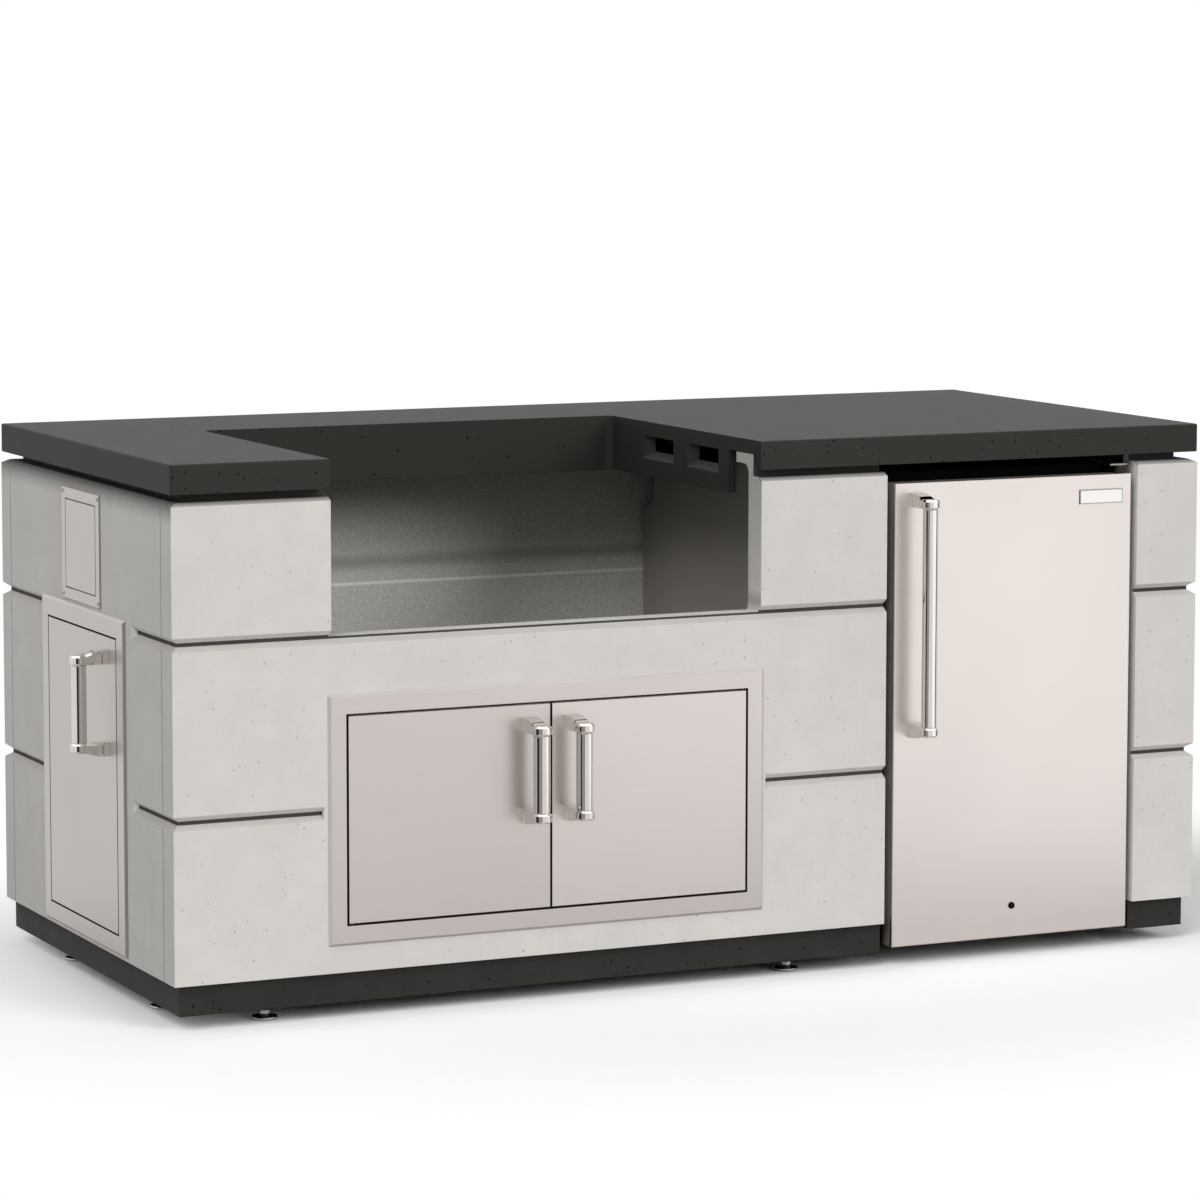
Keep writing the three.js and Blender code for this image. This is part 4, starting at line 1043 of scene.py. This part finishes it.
def cover_screws():
    low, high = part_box("utility_frame")
    to_left = Matrix.Rotation(math.radians(-90), 3, "Y")
    corners = [(y, z) for z in (low.z + COVER_SCREW_INSET, high.z - COVER_SCREW_INSET)
               for y in (low.y + COVER_SCREW_INSET, high.y - COVER_SCREW_INSET)]
    for number, (y, z) in enumerate(corners, 1):
        screw(f"utility_screw_{number}", (low.x, y, z), to_left, COVER_SCREW)


def hinge_screws():
    low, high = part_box("fridge_upper_hinge")
    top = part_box("fridge_cabinet")[1].z + HINGE_PLATE_RISE
    for number, inset in enumerate(HINGE_SCREW_INSETS, 1):
        screw(f"hinge_screw_{number}", ((low.x + high.x) / 2, high.y - inset, top),
              Matrix.Identity(3), HINGE_SCREW)


cover_screws()
hinge_screws()

# Floor, world and lamps. Gloss sees a studio and a floor that brighten from the left to the
# right in front of the object.

AMBIENT = 0.24
LEFT_GLOSS = 0.75
RIGHT_GLOSS = 1.1
OVERHEAD_GLOSS = 0.6
LEFT_FLOOR_GLOSS = 0.9
RIGHT_FLOOR_GLOSS = 1.32
FLOOR_GLOSS_PLACES = (0.7, 1.9)
FLOOR_HALF = 30
FLOOR_GAIN = 1.16  # lifts the lit floor to white, where it is seen
FLOOR_GAIN_IN_GLOSS = 0.78 * FLOOR_GAIN
FLOOR_TONES = (0.4, 0.44)  # the pale floor that lights the object
FADE_STRETCH = (0.72, 1.0, 1.0)
FADE_CENTRE = (0.2, 0.0, 0.0)
FADE_RADII = (0.72, 1.4)
CARD_LATER = 0.8  # a card's level after the first reflection
KEY = 1.53
FILL = 1.42
WHITE = (1, 1, 1, 1)


def world_light():
    world = bpy.data.worlds.new("studio")
    scene.world = world
    world.use_nodes = True
    world.node_tree.nodes.clear()
    graph = Nodes(world.node_tree)
    ray = graph.node("ShaderNodeLightPath").outputs
    x, y, z = graph.parts(graph.node("ShaderNodeTexCoord").outputs["Generated"])
    front = graph.between(x, 0.15, 0.7, LEFT_GLOSS, RIGHT_GLOSS)
    around = graph.between(y, -0.5, 0.3, front, 1.0)
    above = graph.between(z, 0.45, 0.65, 0.0, OVERHEAD_GLOSS)
    gloss = graph.sums("ADD", around, above)
    seen = graph.sums("MAXIMUM", ray["Is Camera Ray"], ray["Is Transmission Ray"])
    strength = graph.pick(seen, graph.pick(ray["Is Glossy Ray"], AMBIENT, gloss), 1.0)
    background = graph.node("ShaderNodeBackground", {"Color": WHITE, "Strength": strength})
    graph.node("ShaderNodeOutputWorld", {"Surface": background.outputs[0]})


def stage_mesh(name, corners, material):
    mesh = bpy.data.meshes.new(name)
    mesh.from_pydata(corners, [], [(0, 1, 2, 3)])
    mesh.materials.append(material)
    piece = bpy.data.objects.new(name, mesh)
    scene.collection.objects.link(piece)
    return piece


def floor():
    """A pale floor. Where it is seen, it is white in full light, keeps the shadow and fades to
    plain white."""
    graph = Graph("floor")
    ray = graph.node("ShaderNodeLightPath").outputs
    lighting = ray["Is Diffuse Ray"]
    pale = graph.between(graph.noise(graph.place(), 0.7, 2.0), 0.3, 0.7, *FLOOR_TONES)
    seen = graph.pick(ray["Is Glossy Ray"], FLOOR_GAIN, FLOOR_GAIN_IN_GLOSS)
    matt = graph.node("ShaderNodeBsdfDiffuse", {"Color": graph.pick(lighting, seen, pale)})
    across = graph.parts(graph.place())[0]
    mirrored = graph.between(across, *FLOOR_GLOSS_PLACES, LEFT_FLOOR_GLOSS, RIGHT_FLOOR_GLOSS)
    level = graph.pick(ray["Is Glossy Ray"], 1.0, mirrored)
    white = graph.node("ShaderNodeEmission", {"Color": WHITE, "Strength": level})
    away = graph.node("ShaderNodeVectorMath", {0: graph.place(FADE_STRETCH), 1: FADE_CENTRE},
                      operation="DISTANCE").outputs["Value"]
    fade = graph.node("ShaderNodeMapRange", {
        "Value": away, "From Min": FADE_RADII[0], "From Max": FADE_RADII[1],
    }, interpolation_type="SMOOTHSTEP").outputs[0]
    share = graph.sums("MULTIPLY", fade, graph.sums("SUBTRACT", 1.0, lighting))
    both = graph.node("ShaderNodeMixShader", {0: share, 1: matt.outputs[0], 2: white.outputs[0]})
    output = next(node for node in graph.tree.nodes if node.type == "OUTPUT_MATERIAL")
    graph.put(both.outputs[0], output.inputs["Surface"])
    graph.tree.nodes.remove(graph.shader)
    half = FLOOR_HALF
    corners = [(-half, -half, 0), (half, -half, 0), (half, half, 0), (-half, half, 0)]
    stage_mesh("floor", corners, graph.material)


def card(name, start, end, top, level):
    """An upright card beside the object that only gloss shows, as a studio's flags show in
    chrome."""
    graph = Graph(name, Base_Color=(0, 0, 0, 1), Roughness=1.0, Specular_IOR_Level=0.0,
                  Emission_Color=WHITE)
    depth = graph.node("ShaderNodeLightPath").outputs["Glossy Depth"]
    first = graph.sums("LESS_THAN", depth, 1.5)
    graph.feed("Emission Strength", graph.between(first, 0.0, 1.0, CARD_LATER, level))
    piece = stage_mesh(name, [(*start, 0), (*end, 0), (*end, top), (*start, top)], graph.material)
    piece.visible_camera = piece.visible_diffuse = False
    piece.visible_shadow = piece.visible_transmission = False


def sun(name, azimuth, height, spread, strength):
    """A soft, even light from a direction: azimuth from the front towards the right, in degrees."""
    data = bpy.data.lights.new(name, "SUN")
    data.angle = math.radians(spread)
    data.energy = strength
    piece = bpy.data.objects.new(name, data)
    azimuth, height = math.radians(azimuth), math.radians(height)
    back = Vector((math.sin(azimuth) * math.cos(height), -math.cos(azimuth) * math.cos(height),
                   math.sin(height)))
    piece.rotation_euler = (-back).to_track_quat("-Z", "Y").to_euler()
    piece.visible_glossy = False
    scene.collection.objects.link(piece)


world_light()
floor()
card("card_left", (-1.35, -1.08), (-1.35, -0.4), 0.9, 0.03)
card("card_left_grey", (-0.75, -1.9), (-1.35, -1.08), 0.9, 0.35)
card("card_right", (1.4, -0.85), (1.4, -0.47), 0.95, 0.03)
sun("key", 26, 24, 30, KEY)
sun("fill", -50, 40, 36, FILL)
